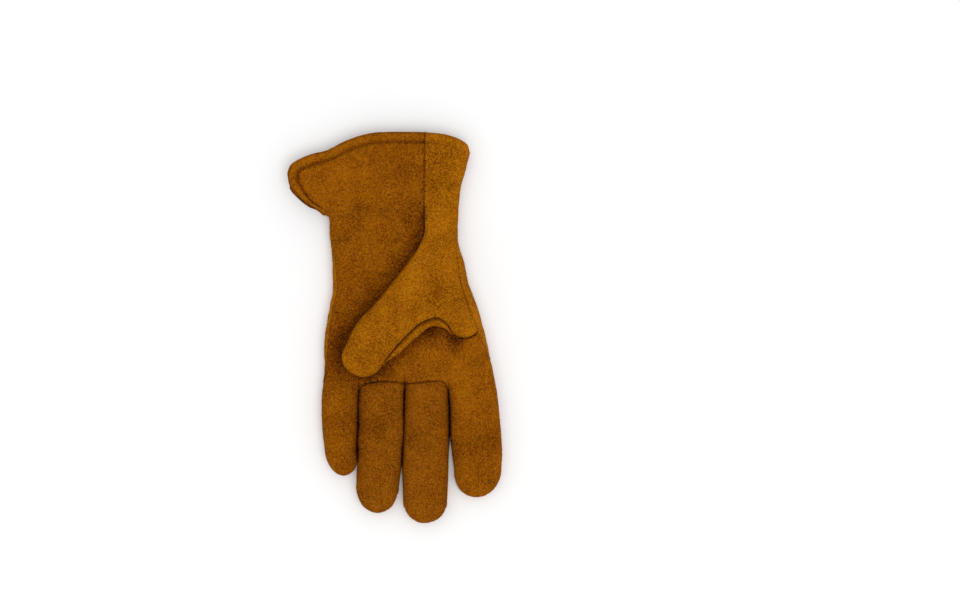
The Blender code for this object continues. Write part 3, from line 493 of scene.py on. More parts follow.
def thumbInnerGrids():
    # straight rows from the far edge to the lip just over the palm, both edges curling up in quarter
    # circles; from the lip the sheet goes back in a quarter ellipse to the outer panel's edge
    t = np.linspace(0, 1, thumb["innerRows"])
    last = len(thumbTable) - 1
    farRow = thumbRow(thumb["liftRow"] + (last - thumb["liftRow"]) * t ** thumb["innerBunch"])
    nearRow = thumbRow(thumb["cornerRow"] + (last - thumb["cornerRow"]) * t)
    far = np.stack([farRow["farX"], farRow["farY"]], axis=1)
    near = np.stack([nearRow["nearX"], nearRow["nearY"]], axis=1)
    begun = ramp(t / lip["begins"])
    start = (1 - begun)[:, None]
    near = near + (far - near) / np.linalg.norm(far - near, axis=1, keepdims=True) * lip["tuck"] * start
    run = lengthRun(near)
    shown = (begun * np.sqrt(np.clip((1 - t) / lip["ends"], 0, 1)))[:, None]
    edge = near + (along(lipEdge, run / run[-1]) - near) * shown
    span = (edge - far)[:, None]
    length = np.linalg.norm(span, axis=2)
    radius, steps = thumb["innerRadius"], edgeSteps(1.0, thumb["innerTurns"])
    part = radius / length
    between = np.linspace(0, 1, thumb["innerBetween"])[1:-1]
    s = np.concatenate([steps * part, part + (1 - 2 * part) * between, 1 - steps[::-1] * part], axis=1)
    plan = far[:, None] + span * s[..., None]
    bed = palmZ(plan[..., 0], plan[..., 1]) + lay["bedGap"]
    upFar, upNear = 1 - roundOver(s * length, radius), 1 - roundOver((1 - s) * length, radius)
    root = ramp(t / lip["lifts"])[:, None]
    middleZ = np.minimum(lay["thumbMidZ"], bed + (lay["thumbMidZ"] - bed) * root)
    rooted = lip["rooted"] + (1 - lip["rooted"]) * ramp(t / lip["rootedOver"])[:, None]
    z = bed + upFar * (farRow["zFar"][:, None] - bed) * rooted + upNear * (middleZ - bed)
    body = stack(plan[..., 0], plan[..., 1], z)
    lift = np.linspace(0, 1, lip["columns"])[None, 1:]
    backIn = edge[:, None] + (near - edge)[:, None] * (1 - np.sqrt(1 - lift ** 2))[..., None]
    lipPart = stack(backIn[..., 0], backIn[..., 1],
                    z[:, -1:] + (nearRow["zNear"][:, None] - lip["tuckDrop"] * start - z[:, -1:]) * lift)
    body = np.concatenate([body, lipPart], axis=1)
    tip = thumbTipGrid(np.concatenate([s[-1] * 2 - 1, np.ones(lift.shape[1])]), -1)
    body[-1] = tip[0]
    return [body, tip]


elastic = {
    "y": 73.0,
    "length": 15.0,             # reach of its gathers to either side
    "calm": 10.0,               # distance from the hand's sides over which they grow
    "rise": 1.2,                # how far it lifts the back, and the gathers
    "gatherRise": 2.0,
    "fan": 0.25,                # how far the gathers slant
    "start": -33.0,             # zigzag: its first x, the width and height of a zig, and their number
    "pitch": 7.9,
    "height": 6.3,
    "zigs": 8,
    "groove": 0.6,
    "grooveWidth": 0.8,
}
strip = {
    "inset": 4.6,               # how far a strip reaches in under a finger
    "tipStart": 0.38,           # how far round the tip it ends, and how far past that its rows go
    "tipPast": 0.06,
    "least": 0.1,               # share of its width left there
    "archRadius": 5.2,
    "archBack": 6.8,
    "drop": 0.4,
    "columns": 9,
    "webRows": 25,
}
backSheet = {
    "turns": 8,                 # columns round an edge, across a finger and round an arch
    "between": 17,
    "archColumns": 15,
    "rim": 0.05,                # share of the way down that has close rows
    "rimRows": 14,
    "rows": 110,
    "sideY": 64.0,              # the hand's side line is followed from here down
    "sidePoints": 12,
    "cuffY": 100.0,             # below these two the columns stay inside the sides, a step apart
    "handY": 60.0,
    "step": 0.1,
    "vent": (68.0, 74.0),       # between these the first columns count as a little inside the side
    "ventColumns": 4,
    "ventAway": 0.4,
}


def zigzag(x):
    # height of the sewn zigzag at each x: straight legs up and down
    turn = (x - elastic["start"]) / elastic["pitch"] % 1
    return elastic["y"] + elastic["height"] * (np.abs(2 * turn - 1) - 0.5)


def fromZigzag(x, y):
    # distance to the zigzag's legs, and 0 beyond its ends
    steep = np.hypot(1, 2 * elastic["height"] / elastic["pitch"])
    end = elastic["start"] + elastic["zigs"] * elastic["pitch"]
    outside = np.maximum(np.maximum(elastic["start"] - x, x - end), 0)
    return np.hypot((y - zigzag(x)) / steep, outside)


def archFoot(crotchName):
    # y where the arch of the strip at a crotch starts
    return crotches[crotchName][1] + strip["archBack"] - strip["archRadius"]


def backShift(finger, start, q):
    # moves a back's rows to start at the arch, less and less down to the tip
    yRoot, yTip = finger["y"][0], finger["y"][-1]
    return (start - yRoot) * (q - yTip) / (yRoot - yTip)


def stripTaper(v):
    # a strip keeps its width to the start of the fingertip, then ends in a half ellipse
    return np.sqrt(np.clip(1 - (v / strip["tipStart"]) ** 2, 0, 1))


def backFingerGrid(name):
    # the back of a finger between its strips; the outer fingers go on round to their outer sides
    finger = fingers[name]
    q, v = fingerRows(finger)
    half = smooth(finger["y"], finger["half"], q)
    inset = 1 - strip["inset"] / half * stripTaper(v)
    side = edgeSteps(lay["underRadius"], backSheet["turns"]) / finger["half"][0]
    middle = np.linspace(0, 1, backSheet["between"])
    if name == "little":
        u = np.concatenate([-1 + side + 0 * q, (-1 + side[-1]) + (inset + 1 - side[-1]) * middle[1:]], axis=1)
    elif name == "index":
        u = np.concatenate([-inset + (1 - side[-1] + inset) * middle[:-1], 1 - side[::-1] + 0 * q], axis=1)
    else:
        u = -inset + 2 * inset * middle[None]
    x, y, edge = fingerPlan(finger, u, q, v)
    first, second = [archFoot(place) for place in fingerCrotches[name]]
    over = (u[:1] - u[0, 0]) / (u[0, -1] - u[0, 0])
    y = y + backShift(finger, first + (second - first) * over, q)
    return stack(x, y, underZ(x, y, edge))


peek = {
    "out": (1.3, 1.5),          # how far the back's hem shows past the palm's, from fromY to toY
    "fromY": 71.5,
    "fromOver": 12.0,
    "toY": 98.0,
    "over": 8.0,
    "tuck": 0.9,                # how far it lies inside the palm's, above tuckY and short of tuckX
    "tuckY": 90.0,
    "tuckX": 48.0,
    "tuckOver": 20.0,
    "towards": (-25.0, 90.0),
}


def peeking(edge):
    # a line of the mouth moved for the back: out along the vent, towards the cuff's middle elsewhere
    edge = np.array(edge)
    x, y = edge[:, :1], edge[:, 1:]
    vent = ramp((y - peek["fromY"]) / peek["fromOver"]) * ramp((peek["toY"] - y) / peek["over"])
    inward = np.array(peek["towards"]) - edge
    inward /= np.linalg.norm(inward, axis=1, keepdims=True)
    tucked = ramp((y - peek["tuckY"]) / peek["over"]) * ramp((peek["tuckX"] - x) / peek["tuckOver"])
    return edge - np.array(peek["out"]) * vent + peek["tuck"] * inward * tucked


turnUp = {
    "least": 0.25,              # the back turns up where the seam lies further in than this
    "past": 1.2,                # how far it goes on in under the palm, and how far down
    "drop": 1.2,
    "dropFrom": 0.2,
    "dropOver": 1.0,
    "columns": 10,
    "crowd": 1.5,               # above 1 the columns crowd at the side
}


def sideTurn(side, inset, inward):
    # the back's turned-up edge: a quarter circle from the side to the seam, then in under the palm
    side = side[inset(side[:, 1]) > turnUp["least"]]
    y = side[:, 1:2]
    reach = (inset(y) + turnUp["past"]) * np.linspace(0, 1, turnUp["columns"])[None] ** turnUp["crowd"]
    under = ramp((reach - inset(y) - turnUp["dropFrom"]) / turnUp["dropOver"])
    z = side[:, 2:] + lay["bodyRise"] * roundOver(reach, lay["bodyRadius"])
    return stack(side[:, :1] + inward * reach, y, z - turnUp["drop"] * under)


def backGrids():
    # Coons patch from the mouth to the fingers' roots and the strips' arches, the fingers' backs and the
    # turned-up sides; the gathers are the square of a raised cosine
    backs = {name: backFingerGrid(name) for name in fingers}
    foot = [backs["little"][0]]
    for name in ("ring", "middle", "index"):
        left, right = foot[-1][-1], backs[name][0][0]
        radius = (right[0] - left[0]) / 2
        angle = np.linspace(np.pi, 0, backSheet["archColumns"])[1:-1]
        middle = (left[0] + right[0]) / 2
        foot.append(stack(middle + radius * np.cos(angle), left[1] + radius * np.sin(angle), left[2]))
        foot.append(backs[name][0])
    foot = np.concatenate(foot)
    across = (foot[:, 0] - foot[0, 0]) / (foot[-1, 0] - foot[0, 0])
    down = rowShares(backSheet["rim"], backSheet["rimRows"], backSheet["rows"])
    sideY = np.linspace(backSheet["sideY"], foot[0, 1], backSheet["sidePoints"])
    left = along(np.concatenate([peeking(ventEdge), np.stack([sideLittle(sideY), sideY], axis=1)]), down)
    rightY = np.interp(down, (0, 1), (thumbMouthEdge[-1][1], foot[-1, 1]))
    mouth = np.concatenate([peeking(mouthEdge), peeking(thumbMouthEdge)[1:]])
    right = np.stack([sideThumb(rightY), rightY], axis=1)
    body = fill(along(mouth, evened(across)), foot[:, :2], left, right, across, down)
    x, y = body[..., 0], body[..., 1]
    step = backSheet["step"] * np.arange(len(across))
    x = np.where(y < backSheet["cuffY"], np.minimum(x, sideThumb(y) - step[::-1]), x)
    x = np.where(y < backSheet["handY"], np.maximum(x, sideLittle(y) + step), x)
    away = farFromSides(x, y)
    away[:, 0] *= y[:, 0] > lay["ventY"]
    low, high = backSheet["vent"]
    firstY, first = y[:, :backSheet["ventColumns"]], away[:, :backSheet["ventColumns"]]
    first[:] = np.where((firstY > low) & (firstY < high), np.maximum(first, backSheet["ventAway"]), first)
    away[:, -1] *= y[:, -1] > backSheet["cuffY"]
    z = underZ(x, y, away)
    gather = nearElastic(y, farFromSides(x, y))
    slanted = x + elastic["fan"] * np.abs(y - elastic["y"]) - elastic["start"]
    wave = 0.5 - 0.5 * np.cos(2 * np.pi * slanted / elastic["pitch"])
    body = stack(x, y, z + elastic["gatherRise"] * gather * wave ** 2)
    body[-1] = foot
    littleRim = np.concatenate([body[left[:, 1] < lay["ventY"] + 0.5, 0], backs["little"][1:, 0]])
    thumbRim = np.concatenate([body[:, -1], backs["index"][1:, -1]])
    turns = [sideTurn(littleRim, littleInset, 1), sideTurn(thumbRim, sideInset, -1)]
    return [body] + list(backs.values()) + turns


def stripGrids(crotchName, littleName, thumbName):
    # a strip down each of two fingers, in under it by the cosine of an even angle, and a half circle of
    # web that joins them at the crotch
    parts, roots = [], []
    for name, sign in ((littleName, 1), (thumbName, -1)):
        finger = fingers[name]
        q, v = fingerRows(finger)
        keep = v[:, 0] <= strip["tipStart"] + strip["tipPast"]
        q, v = q[keep], v[keep]
        half = smooth(finger["y"], finger["half"], q)
        inner = 1 - strip["inset"] / half * np.maximum(stripTaper(v), strip["least"])
        share = (1 - np.cos(np.linspace(0, np.pi / 2, strip["columns"])))[None]
        x, y, edge = fingerPlan(finger, sign * (1 - (1 - inner) * share), q, v)
        onBack = backShift(finger, archFoot(crotchName), q)
        y = y + (1 - share) * rootShift(finger, x[0, 0], q, v) + share * onBack
        grid = stack(x, y, underZ(x, y, edge) - strip["drop"] * (1 - share))
        parts.append(grid)
        roots.append(grid[0])
    angle = np.linspace(np.pi, 0, strip["webRows"])[:, None, None]
    middle, half = (roots[0] + roots[1]) / 2, (roots[1] - roots[0]) / 2
    web = middle + half * np.cos(angle) + half[:, :1] * np.array((0.0, 1.0, 0.0)) * np.sin(angle)
    return [parts[0][:, ::-1], parts[1], web]


hide = {
    "wall": 1.3,
    "hemWall": 2.4,
    "hemThin": 0.4,             # share of the hem's wall left at its very edge
    "hemWidth": 6.5,            # stitch line of the hem
    "hemStep": 1.6,             # distance over which the wall changes, in so many levels
    "levels": 12,
    "ventHem": 0.35,            # share of that width left at the end of the vent
    "ventHemY": 83.0,           # it is back to the whole at ventHemOver above here, later at larger x
    "ventHemOver": 28.0,
    "ventHemX": (-43.0, -30.0),
    "ventHemLater": 0.5,
    "bead": 1.2,                # how far the rolled hem stands proud, its middle and half its width
    "beadAt": 3.0,
    "beadWidth": 3.3,
    "edge": 0.9,                # how far its very edge turns down
    "edgeWidth": 1.4,
    "groove": 1.2,
    "grooveWidth": 0.75,
    "shoulder": 0.3,            # low swelling beyond the groove
    "shoulderAt": 9.2,
    "shoulderWidth": 1.8,
    "fadeFrom": 1.5,            # distance from the hem's ends over which its relief grows
    "fadeOver": 8.0,
    "roll": 0.35,               # how far a sewn edge turns in
    "rollWidth": 1.3,
    "puff": 0.25,               # swelling beside a seam
    "puffAt": 2.8,
    "puffWidth": 1.3,
    "pucker": (0.75, 0.25, 4.5),    # its mean and change along the seam, and their size
    "atMouth": (0.2, 0.8, 2.0),     # share of roll and puff left at the mouth, the rest, and its distance
    "calm": (0.25, 0.75, 4.0),      # the same for the unevenness at a seam
    "seamGap": 0.04,            # how far a sewn edge is let in; past these heights it overlaps instead
    "overlaps": ((80.0, 15.0, 0.16), (122.0, 3.0, 0.2)),
    "creaseEnds": 0.3,          # share of a crease's length over which it fades
    "uneven": ((30.0, 0.32), (11.0, 0.14), (4.2, 0.06), (1.9, 0.035)),   # size and height of each swell
}
creaseColumns = ("points", "depth", "width")
creases = (         # troughs (below 0) and ridges (above 0) on the upper side
    (((17.0, 72.0), (12.0, 55.0), (0.0, 39.0), (-14.0, 23.0), (-30.0, 4.0), (-40.0, -14.0)), -1.7, 5.0),
    (((-20.0, -35.0), (-4.0, -29.0), (10.0, -14.0), (24.0, -3.0), (34.0, -7.0)), -0.9, 4.5),
    (((40.0, 38.0), (35.0, 27.0), (27.0, 17.0)), -0.75, 3.2),
    (((33.0, 40.0), (27.0, 29.0), (17.0, 19.0)), 0.45, 4.0),
    (((28.0, 46.0), (21.0, 33.0), (10.0, 24.0)), -0.45, 3.6),
    (((46.0, 20.0), (42.0, 9.0), (36.0, 3.0)), -0.45, 2.6),
    (((52.0, 8.0), (47.0, 0.0), (43.0, -4.0)), 0.35, 2.8),
    (((9.0, 108.0), (6.0, 90.0), (9.0, 70.0)), -0.4, 3.6),
    (((-46.0, 101.0), (-38.0, 94.0), (-30.0, 80.0)), -0.4, 5.0),
    (((-58.0, 96.0), (-46.0, 90.0), (-36.0, 76.0)), 0.35, 4.0),
    (((-38.0, 62.0), (-22.0, 66.0), (-4.0, 60.0)), -0.35, 5.0),
    (((-37.0, 34.0), (-26.0, 22.0), (-18.0, 4.0)), -0.3, 5.0),
    (((-40.0, -22.0), (-30.0, -30.0), (-20.0, -31.0)), -0.4, 3.5),
    (((10.0, -14.0), (30.0, -22.0), (52.0, -20.0)), -0.35, 5.0),
    (((40.0, -30.0), (48.0, -40.0), (58.0, -44.0)), -0.35, 4.0),
    (((-21.0, -66.0), (-8.0, -69.0), (4.0, -67.0)), -0.4, 3.4),
    (((8.0, -72.0), (20.0, -75.0), (33.0, -72.0)), -0.4, 3.6),
    (((39.0, -68.0), (52.0, -72.0), (67.0, -69.0)), -0.45, 3.6),
    (((-46.0, -60.0), (-36.0, -63.0), (-26.0, -61.0)), -0.35, 3.0),
)


# places on the upper side that are lighter (above 0) or darker (below 0), some of them nap tone that varies and
# some painted light and shade: x, y, radius, amount
# the painted shade includes the shadow under the thumb's arch, beside the thumb and in the crotch of the little
# and ring fingers
toneAndShadePatches = (
    (12.0, 102.0, 9.0, -0.15), (-26.0, 71.0, 8.0, -0.16), (-18.0, 101.0, 9.0, 0.12), (-3.0, 81.0, 8.0, 0.12),
    (-55.0, 93.5, 6.0, 0.1), (-44.0, 101.0, 5.0, -0.1), (29.0, 115.0, 6.0, -0.12), (30.0, 70.0, 9.0, 0.14),
    (12.0, 59.0, 6.0, -0.15), (10.0, 26.0, 6.0, 0.14), (30.0, 24.0, 7.0, -0.15), (36.0, 96.0, 7.0, 0.08),
    (24.0, -4.5, 6.0, -0.3), (39.5, -11.0, 5.5, -0.32), (53.0, -24.0, 7.0, -0.16), (48.5, -3.0, 4.5, 0.2),
    (41.0, -27.0, 7.0, 0.1), (4.0, -28.0, 8.0, 0.1), (40.0, -84.0, 7.0, -0.22), (57.0, -93.0, 8.0, -0.15),
    (46.0, -59.0, 7.0, 0.08), (64.0, -73.0, 6.0, -0.16), (15.5, -72.0, 7.0, -0.15), (28.0, -99.0, 7.0, -0.12),
    (20.0, -47.0, 6.0, 0.08), (-14.0, -50.0, 6.0, 0.12), (-20.5, -47.5, 3.0, -0.3), (-7.5, -65.0, 7.0, -0.14),
    (-15.0, -78.0, 7.0, 0.06), (-35.0, -50.0, 6.0, 0.12), (-27.0, -60.0, 5.0, -0.15), (-41.0, -62.0, 5.0, -0.08),
    (-12.0, 10.0, 8.0, 0.05), (-30.0, -22.0, 6.0, 0.1), (58.0, -52.0, 8.0, -0.08), (52.0, -78.0, 9.0, -0.08),
    (33.0, 98.0, 13.0, -0.12), (-25.0, -20.0, 7.0, 0.06), (50.0, -72.0, 16.0, -0.11), (-36.0, -58.0, 12.0, -0.06),
    (12.0, -30.0, 9.0, -0.05), (-19.6, 27.5, 8.0, -0.12),
)

# outline of the folded thumb on the palm
thumbSide = {
    "far": ((19.4, 72.0), (19.4, 64.0), (15.0, 53.0), (9.0, 44.5), (2.0, 35.0), (-8.0, 22.4),
            (-16.0, 13.2), (-26.0, 2.4), (-35.5, -14.0), (-35.0, -26.0)),
    "near": ((-24.0, -31.5), (-9.5, -28.0), (7.0, -13.6), (18.4, -2.6), (27.9, 2.0), (34.3, -2.0),
             (41.0, -9.0)),
    "farDark": (0.6, 7.0),      # how dark the palm is beside it, and the distance over which that fades
    "nearDark": (0.62, 4.0),
}
slitDark = {
    "dark": 1.6,                # how dark the sides of a slit are, and how wide
    "width": 2.6,
    "startY": (-41.0, -37.5, -41.0),    # where each slit's touching stretch starts and ends
    "startOver": 5.0,
    "endY": (-90.0, -94.0, -80.0),
    "endOver": 10.0,
    "lean": (0.035, 42.0),      # how far the slits lean across, from this y
    "reach": (6.0, 3.0),        # distance to a slit, and the distance over which that ends
    "low": (4.0, 1.5),          # height, and the height over which it begins
}
# painted shade and highlight: darker along the sewn edges, in the hem's groove and at its turned-down edge, in the
# zigzag and beside the vent, lighter on the hem's bead
shades = {
    "seam": 0.3,                # how dark a sewn edge is, how wide, and from what distance to the mouth
    "seamWidth": 0.7,
    "seamMouth": 3.0,
    "littleSeam": 0.25,         # what the little finger's side adds, about this x and y
    "littleX": (-35.0, 5.0),
    "littleY": (-12.0, 25.0),
    "groove": 0.24,             # the hem's groove, and what it gains towards the vent
    "grooveWidth": 1.1,
    "grooveVent": 0.14,
    "grooveVentX": (-15.0, 25.0),
    "bead": 0.12,               # the bead is lighter, its edge darker
    "beadAt": 2.9,
    "beadWidth": 1.7,
    "edge": 0.2,
    "edgeWidth": 0.9,
    "legs": 0.4,                # the zigzag, and the back beside the vent
    "vent": 0.4,
    "ventOver": 2.5,
}


def swell(points, size, seed, count=9):
    # plane waves of about one size in random directions, added: roughly -1.5 to 1.5
    draw = np.random.default_rng(seed)
    direction = draw.normal(size=(count, 3))
    direction *= (2 * np.pi / size * draw.uniform(0.7, 1.5, (count, 1))
                  / np.linalg.norm(direction, axis=1, keepdims=True))
    return np.sin(points @ direction.T + draw.uniform(0, 2 * np.pi, count)).sum(1) / np.sqrt(count)


def nearest(points, targets, chunk=2000):
    # distance from every point to the nearest target
    away = np.empty(len(points))
    for start in range(0, len(points), chunk):
        part = points[start:start + chunk]
        square = ((part[:, None] - targets[None]) ** 2).sum(-1)
        away[start:start + chunk] = np.sqrt(square.min(1))
    return away


def hemAway(x, y, back):
    # distance to the mouth's edge, counted larger where the hem is narrower, towards the vent's end
    edges = [peeking(edge) if back else edge for edge in (mouthEdge, thumbMouthEdge, ventEdge)]
    away = np.min([nearLine(x, y, edge)[0] for edge in edges], axis=0)
    firstX, lastX = hide["ventHemX"]
    above = y - hide["ventHemY"] - hide["ventHemLater"] * (np.minimum(x, lastX) - firstX)
    width = 1.0 if back else hide["ventHem"] + (1 - hide["ventHem"]) * ramp(above / hide["ventHemOver"])
    return away / np.where(y > lay["ventY"], np.minimum(width, 1), hide["ventHem"])


def hemFade(x, y):
    # 0 at the hem's two ends, 1 away from them
    ends = (thumbMouthEdge[-1], ventEdge[-1])
    return np.prod([ramp((np.hypot(x - end[0], y - end[1]) - hide["fadeFrom"]) / hide["fadeOver"])
                    for end in ends], axis=0)


def hemRelief(away):
    # a round bead out to the stitch line, a narrow groove there, a low swelling beyond
    bead = hide["bead"] * np.sqrt(np.clip(1 - ((away - hide["beadAt"]) / hide["beadWidth"]) ** 2, 0, 1))
    edge = -hide["edge"] * np.clip(1 - away / hide["edgeWidth"], 0, 1) ** 2
    groove = -hide["groove"] * bell(away, hide["hemWidth"], hide["grooveWidth"])
    return bead + edge + groove + hide["shoulder"] * bell(away, hide["shoulderAt"], hide["shoulderWidth"])


def creaseRelief(x, y):
    # each crease is a bell across its line, fading at both ends
    total = np.zeros_like(x)
    for row in creases:
        crease = dict(zip(creaseColumns, row))
        away, share = nearLine(x, y, crease["points"], 40)
        fade = ramp(share / hide["creaseEnds"]) * ramp((1 - share) / hide["creaseEnds"])
        total += crease["depth"] * bell(away, 0, crease["width"]) * fade
    return total


def toneAndShadeSpots(x, y):
    # each place is a soft round spot, some of them nap tone and some painted light and shade: e to the minus
    # square of its distance over its radius
    return sum(amount * np.exp(-((x - px) ** 2 + (y - py) ** 2) / radius ** 2)
               for px, py, radius, amount in toneAndShadePatches)


def slitShade(x, y, z, away):
    # no light reaches down between the fingers where they touch
    lean, fromY = slitDark["lean"]
    slit = slitsAway(x + lean * (y + fromY))
    slitX = [place[0] for place in crotches.values()]
    start, end = np.interp(x, slitX, slitDark["startY"]), np.interp(x, slitX, slitDark["endY"])
    (reach, over), (low, lowOver) = slitDark["reach"], slitDark["low"]
    touching = (ramp((start - y) / slitDark["startOver"]) * ramp((y - end) / slitDark["endOver"])
                * ramp((reach - slit) / over))
    return -slitDark["dark"] * bell(away, 0, slitDark["width"]) * touching * ramp((z - low) / lowOver)


def thumbShade(x, y):
    # painted shade on the palm beside the folded thumb, where its shadow falls: e to the minus distance over a
    # length
    (farDark, farOver), (nearDark, nearOver) = thumbSide["farDark"], thumbSide["nearDark"]
    far = nearLine(x, y, thumbSide["far"])[0]
    near = nearLine(x, y, thumbSide["near"])[0]
    return -farDark * np.exp(-far / farOver) - nearDark * np.exp(-near / nearOver)


def meshArrays(mesh):
    # a mesh's points, normals and edges, and which of the edges lie on its border
    points = np.empty(len(mesh.vertices) * 3)
    normals = np.empty(len(mesh.vertices) * 3)
    mesh.vertices.foreach_get("co", points)
    mesh.vertices.foreach_get("normal", normals)
    edges = np.empty(len(mesh.edges) * 2, np.int32)
    mesh.edges.foreach_get("vertices", edges)
    used = np.empty(len(mesh.loops), np.int32)
    mesh.loops.foreach_get("edge_index", used)
    border = np.bincount(used, minlength=len(mesh.edges)) == 1
    return points.reshape(-1, 3) / mm, normals.reshape(-1, 3), edges.reshape(-1, 2), border


def gridMesh(name, grids, merge=0.04):
    # joins grids of points into one mesh and merges the points they share
    points, quads, first = [], [], 0
    for grid in grids:
        index = np.arange(grid.shape[0] * grid.shape[1]).reshape(grid.shape[:2]) + first
        corners = [index[:-1, :-1], index[:-1, 1:], index[1:, 1:], index[1:, :-1]]
        quads.append(np.stack(corners, -1).reshape(-1, 4))
        points.append(grid.reshape(-1, 3))
        first += index.size
    mesh = bpy.data.meshes.new(name)
    mesh.from_pydata((np.concatenate(points) * mm).tolist(), [], np.concatenate(quads).tolist())
    work = bmesh.new()
    work.from_mesh(mesh)
    bmesh.ops.remove_doubles(work, verts=work.verts, dist=merge * mm)
    bmesh.ops.recalc_face_normals(work, faces=work.faces)
    work.to_mesh(mesh)
    work.free()
    return mesh


def link(name, mesh, material):
    # makes a mesh a piece of the scene that rides on the glove
    mesh.materials.append(material)
    mesh.shade_smooth()
    piece = bpy.data.objects.new(name, mesh)
    bpy.context.scene.collection.objects.link(piece)
    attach(piece, "root")
    return piece


hemmed = {"seamX": 1.0, "mouthY": 108.0, "ventY": 71.5, "ventX": -35.0}


def onHem(x, y):
    # true on the mouth and the vent, but not at the two seams that end at the mouth
    onSeam = (np.abs(x - thumbMouthEdge[0][0]) < hemmed["seamX"]) | (x > thumbMouthEdge[-2][0])
    return ~onSeam & ((y > hemmed["mouthY"]) | ((y > hemmed["ventY"]) & (x < hemmed["ventX"])))


def settle(piece):
    # fixes the wall into the mesh and keeps every point on or above the table
    graph = bpy.context.evaluated_depsgraph_get()
    walled = bpy.data.meshes.new_from_object(piece.evaluated_get(graph), preserve_all_data_layers=True,
                                             depsgraph=graph)
    piece.modifiers.clear()
    piece.data = walled
    places = np.empty(len(walled.vertices) * 3)
    walled.vertices.foreach_get("co", places)
    places[2::3] = np.maximum(places[2::3], 0.0)
    walled.vertices.foreach_set("co", places)
    walled.update()


def inwardWays(points, normals, edges, border):
    # the way in from the border along the sheet: each point's inner edges added, less their part along
    # the normal
    into = np.zeros_like(points)
    span = points[edges[~border, 1]] - points[edges[~border, 0]]
    np.add.at(into, edges[~border, 0], span)
    np.add.at(into, edges[~border, 1], -span)
    into -= normals * (into * normals).sum(1, keepdims=True)
    return into / np.maximum(np.linalg.norm(into, axis=1, keepdims=True), 1e-9)


def reliefOf(panel, points, away, hem, ended):
    # height along the normal: roll and puff of the sewn edges, the hem, the creases, four sizes of swell
    x, y = points[:, 0], points[:, 1]
    mean, change, size = hide["pucker"]
    pucker = mean + change * swell(points, size, panel["seed"] + 40)
    height = (-panel["roll"] * np.clip(1 - away / hide["rollWidth"], 0, 1) ** 2
              + hide["puff"] * pucker * bell(away, hide["puffAt"], hide["puffWidth"]))
    least, rest, over = hide["atMouth"]
    height *= ramp(hem / over) * rest + least
    height += hemRelief(hem) * ended
    if not panel["under"]:
        height += creaseRelief(x, y)
    least, rest, over = hide["calm"]
    calm = least + rest * ramp(away / over)
    for number, (size, rise) in enumerate(hide["uneven"]):
        height += rise * swell(points, size, panel["seed"] + number) * calm * panel["uneven"]
    return height - panel["sink"]


def shadeOf(panel, points, away, hem, ended):
    # painted shade of the seams, the hem's groove and edge and the slits, a painted highlight on the bead, the
    # upper side's spots of nap tone and painted light and shade, and on the palm painted shade beside the thumb
    x, y = points[:, 0], points[:, 1]
    (sideX, overX), (sideY, overY), (ventX, ventOver) = (shades[k] for k in ("littleX", "littleY", "grooveVentX"))
    little = ramp((sideX - x) / overX) * bell(y, sideY, overY)
    groove = shades["groove"] + shades["grooveVent"] * ramp((ventX - x) / ventOver)
    shade = ((-shades["seam"] - shades["littleSeam"] * little) * bell(away, 0, shades["seamWidth"])
             * ramp(hem / shades["seamMouth"])
             - groove * bell(hem, hide["hemWidth"], shades["grooveWidth"]) * ended
             + (shades["bead"] * bell(hem, shades["beadAt"], shades["beadWidth"])
                - shades["edge"] * bell(hem, 0, shades["edgeWidth"])) * ended
             + slitShade(x, y, points[:, 2], away))
    if not panel["under"]:
        shade = shade + toneAndShadeSpots(x, y)
    if panel["name"] == "palm":
        shade = shade + thumbShade(x, y)
    return shade


def addWall(piece, hem):
    # the hide's wall, inwards; at the hem it is thicker, and thins in a quarter circle to its very edge
    wall = piece.modifiers.new("wall", "SOLIDIFY")
    wall.thickness = hide["wall"] * mm
    wall.offset = -1.0
    if (hem < hide["hemWidth"]).any():
        step, levels = hide["hemStep"], hide["levels"]
        plain = (hide["wall"] / hide["hemWall"] - hide["hemThin"]) / (1 - hide["hemThin"])
        weight = plain + (1 - plain) * ramp((hide["hemWidth"] + step / 2 - hem) / step)
        weight = np.where(hem < step, np.minimum(weight, roundOver(hem, step)), weight)
        group = piece.vertex_groups.new(name="hem")
        level = np.round(weight * levels).astype(int)
        for number in range(levels + 1):
            group.add(np.flatnonzero(level == number).tolist(), number / levels, "REPLACE")
        wall.thickness = hide["hemWall"] * mm
        wall.vertex_group = group.name
        wall.thickness_vertex_group = hide["hemThin"]


